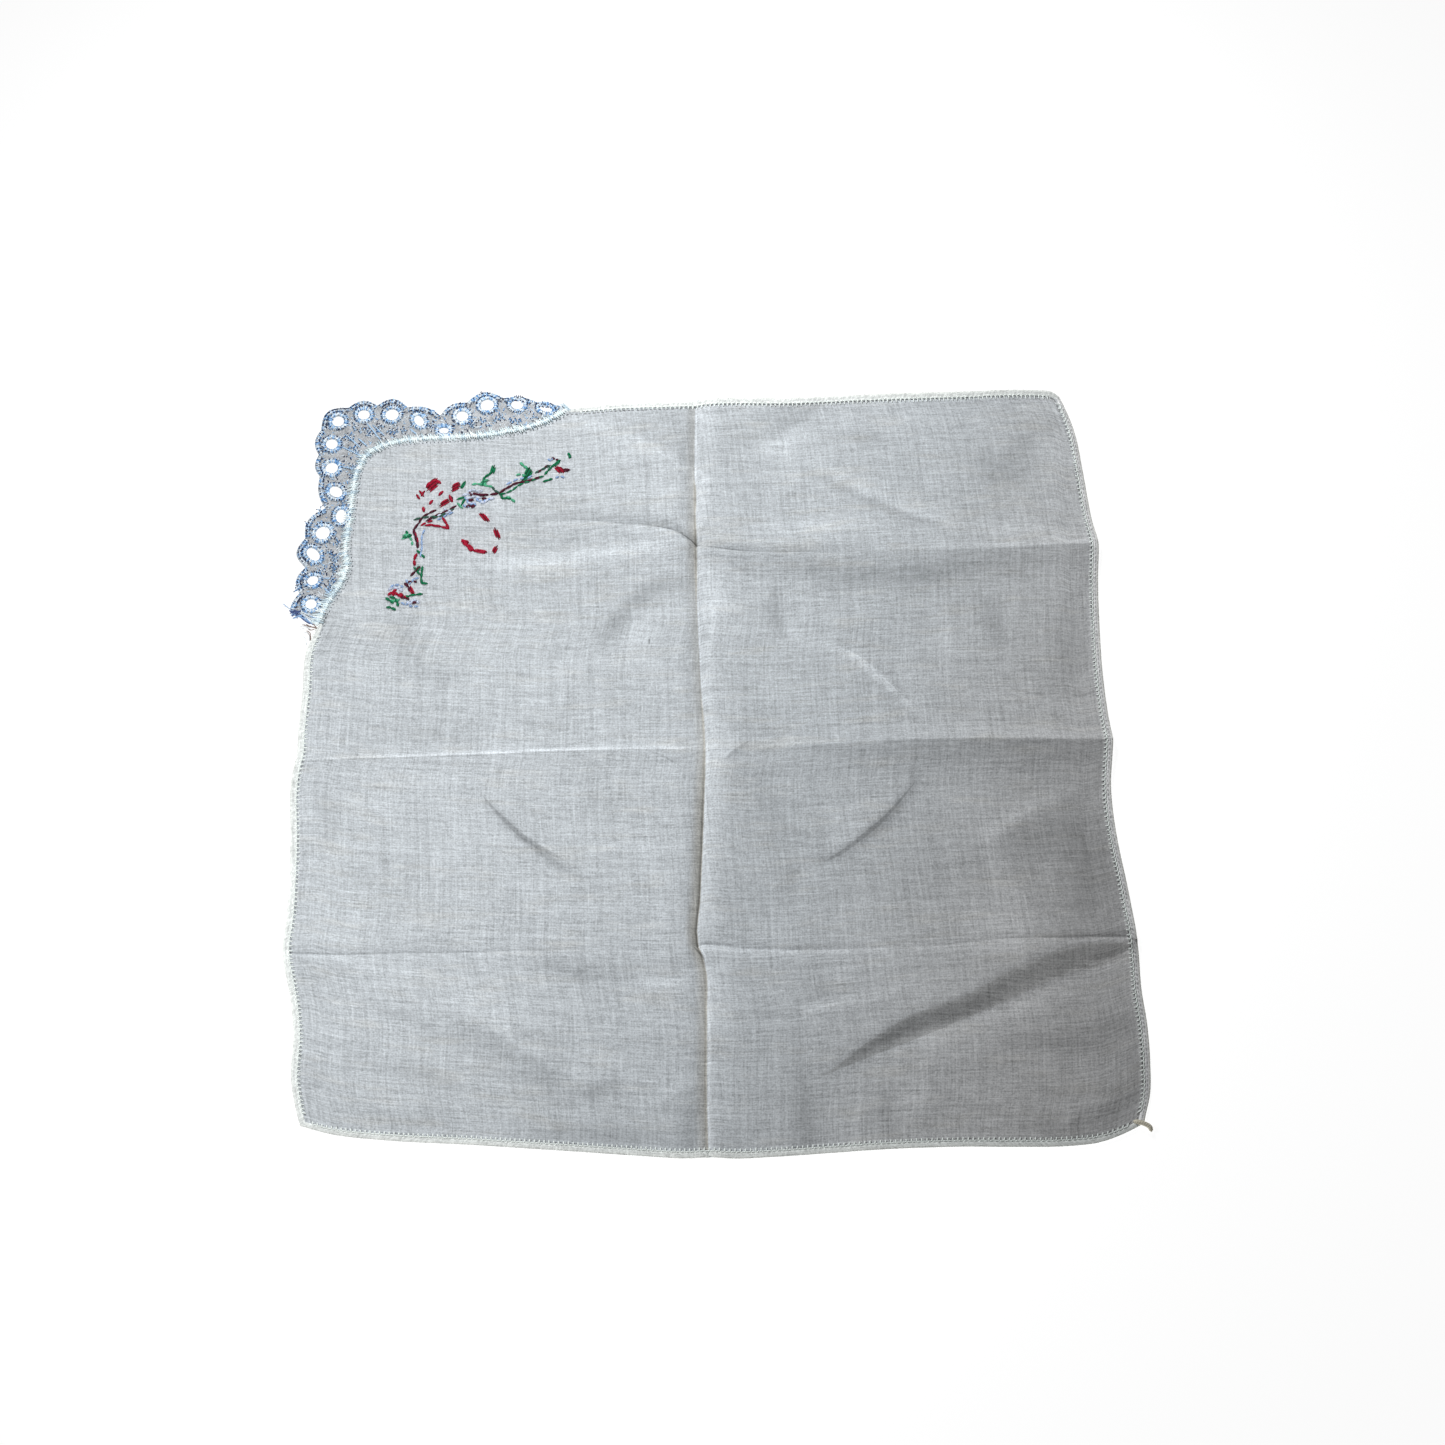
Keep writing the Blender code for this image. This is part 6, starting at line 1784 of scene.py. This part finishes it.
# Loose ends: where the lace stops its blue threads are knotted and cut, the cut cloth frays beside
# them, and the near right corner of the hem ends in a twisted tail.
Loose = namedtuple("Loose", "colour half_wide stops")
FRAY_WHITE, FRAY_CREAM, FRAY_BROWN = seen(232, 240, 244), seen(232, 226, 206), seen(136, 114, 104)
FRAY_BLUE, FRAY_DARK = seen(148, 182, 222), seen(78, 94, 144)
LOOSE_ENDS = [
    Loose(FRAY_DARK, 0.34, [Stop(-153.9, 56.2, 0.5), Stop(-152, 54.8, 1.1), Stop(-150, 54.2, 0.6)]),
    Loose(FRAY_DARK, 0.30, [Stop(-152.8, 53.6, 0.4), Stop(-150.6, 55.2, 1.2), Stop(-149, 56, 0.6)]),
    Loose(FRAY_BLUE, 0.34, [Stop(-152.4, 52.8, 0.4), Stop(-150.4, 53.4, 1.0), Stop(-148.2, 54.6, 0.6)]),
    Loose(FRAY_DARK, 0.26, [Stop(-152.2, 56.6, 0.6), Stop(-151, 54.4, 1.4), Stop(-150.6, 52.6, 0.5)]),
    Loose(FRAY_WHITE, 0.26, [Stop(-150, 55.2, 0.7), Stop(-146.6, 53, 1.0), Stop(-143.2, 51.2, 0.6)]),
    Loose(FRAY_BLUE, 0.24, [Stop(-150.4, 54.2, 0.7), Stop(-147, 51.8, 1.0), Stop(-144, 50, 0.6)]),
    Loose(FRAY_DARK, 0.20, [Stop(-149.4, 53.2, 0.6), Stop(-147.4, 51.4, 0.9), Stop(-145.6, 50.4, 0.5)]),
    Loose(FRAY_BROWN, 0.20, [Stop(-147.4, 50.6, 0.4), Stop(-145.4, 49.2, 0.9), Stop(-142.8, 48.8, 0.7)]),
    Loose(FRAY_BROWN, 0.18, [Stop(-146, 51, 0.4), Stop(-144.2, 50, 0.9), Stop(-143, 48.4, 0.7)]),
    Loose(FRAY_BROWN, 0.14, [Stop(-149, 50.4, 0.3), Stop(-147.6, 49.8, 0.8), Stop(-145, 49.6, 0.6)]),
    Loose(FRAY_BROWN, 0.16, [Stop(-147, 48, 0.3), Stop(-145.6, 46.8, 0.9), Stop(-145, 43.6, 0.7)]),
    Loose(FRAY_WHITE, 0.24, [Stop(-150.2, 56, 0.6), Stop(-147.2, 54.4, 1.0), Stop(-142.6, 53, 0.7)]),
    Loose(FRAY_BLUE, 0.20, [Stop(-149, 56.2, 0.6), Stop(-146, 53.8, 1.0), Stop(-142.6, 52.2, 0.7)]),
    Loose(FRAY_BLUE, 0.16, [Stop(-151.6, 55.2, 0.7), Stop(-154, 57, 0.6), Stop(-156.6, 59.2, 0.3)]),
    Loose(FRAY_WHITE, 0.12, [Stop(-152, 54.6, 0.6), Stop(-154.6, 57.2, 0.8), Stop(-156, 57.8, 0.4)]),
    Loose(FRAY_BLUE, 0.30, [Stop(-153.4, 55.4, 0.4), Stop(-151, 54, 1.0), Stop(-148.6, 52.8, 0.5)]),
    Loose(FRAY_BLUE, 0.30, [Stop(-153.2, 54, 0.4), Stop(-151.4, 54.9, 1.1), Stop(-149.4, 55.2, 0.5)]),
    Loose(FRAY_DARK, 0.20, [Stop(-153.6, 54.6, 0.5), Stop(-151.4, 55.8, 1.2), Stop(-149.4, 54.3, 0.6)]),
    Loose(FRAY_DARK, 0.18, [Stop(-151.4, 53.2, 0.5), Stop(-149.8, 53.9, 0.9), Stop(-148.4, 53.6, 0.5)]),
    Loose(FRAY_BLUE, 0.22, [Stop(-149.6, 53.8, 0.6), Stop(-147.4, 52, 0.8), Stop(-145.4, 50.6, 0.4)]),
    Loose(FRAY_WHITE, 0.22, [Stop(-149, 54.4, 0.5), Stop(-146.4, 52.6, 0.8), Stop(-143.8, 51.6, 0.5)]),
    Loose(FRAY_WHITE, 0.20, [Stop(-147.6, 55, 0.5), Stop(-145.2, 53.2, 0.7), Stop(-142.8, 52.4, 0.5)]),
    Loose(FRAY_BLUE, 0.18, [Stop(-148.2, 53.6, 0.5), Stop(-146, 51.4, 0.7), Stop(-144.6, 50, 0.4)]),
    Loose(FRAY_WHITE, 0.14, [Stop(-150, 49.6, 0.2), Stop(-147.6, 49.4, 0.7), Stop(-145.2, 48.8, 0.6)]),
    Loose(FRAY_WHITE, 0.12, [Stop(-149.4, 48.4, 0.2), Stop(-147, 48.8, 0.8), Stop(-144.8, 48, 0.6)]),
    Loose(FRAY_BROWN, 0.14, [Stop(-148.2, 50.4, 0.4), Stop(-146.4, 49.4, 0.9), Stop(-143.4, 49.2, 0.6)]),
    Loose(FRAY_BROWN, 0.16, [Stop(-146.8, 49.2, 0.5), Stop(-145.4, 47.8, 0.9), Stop(-143.6, 48.6, 0.6)]),
    Loose(FRAY_WHITE, 0.16, [Stop(-148, 47.4, 0.2), Stop(-146, 46.4, 0.7), Stop(-145.6, 43, 0.6)]),
    Loose(FRAY_BROWN, 0.10, [Stop(-147, 47.6, 0.4), Stop(-145.6, 45.8, 0.9), Stop(-145.2, 43.4, 0.8)]),
    Loose(FRAY_WHITE, 0.14, [Stop(-148.8, 46.2, 0.2), Stop(-147.2, 44.6, 0.6), Stop(-146.4, 41.4, 0.5)]),
    Loose(FRAY_CREAM, 0.85, [
        Stop(146.6, -138.2, 0.9), Stop(150.4, -139.2, 1.2), Stop(152.2, -140.4, 1.1),
        Stop(152.6, -142, 0.9),
    ]),
]
LOOSE_STEPS = 14
share = np.linspace(0, 1, LOOSE_STEPS)
routes = []
for loose in LOOSE_ENDS:
    fine = along(loose.stops, 0.2)
    routes.append(fine[np.round(share * (len(fine) - 1)).astype(int)])
routes = np.stack(routes)
taper = np.sqrt(1.02 - (2 * share - 1) ** 6)
thick = np.array([loose.half_wide for loose in LOOSE_ENDS])[:, None] * taper
loose_made = strands(routes, thick, thick * 0.85)
loose_colours = [loose.colour for loose in LOOSE_ENDS]
loose_threads = thread_piece("loose_threads", loose_made, lace_floss, loose_colours, LOOSE_STEPS)
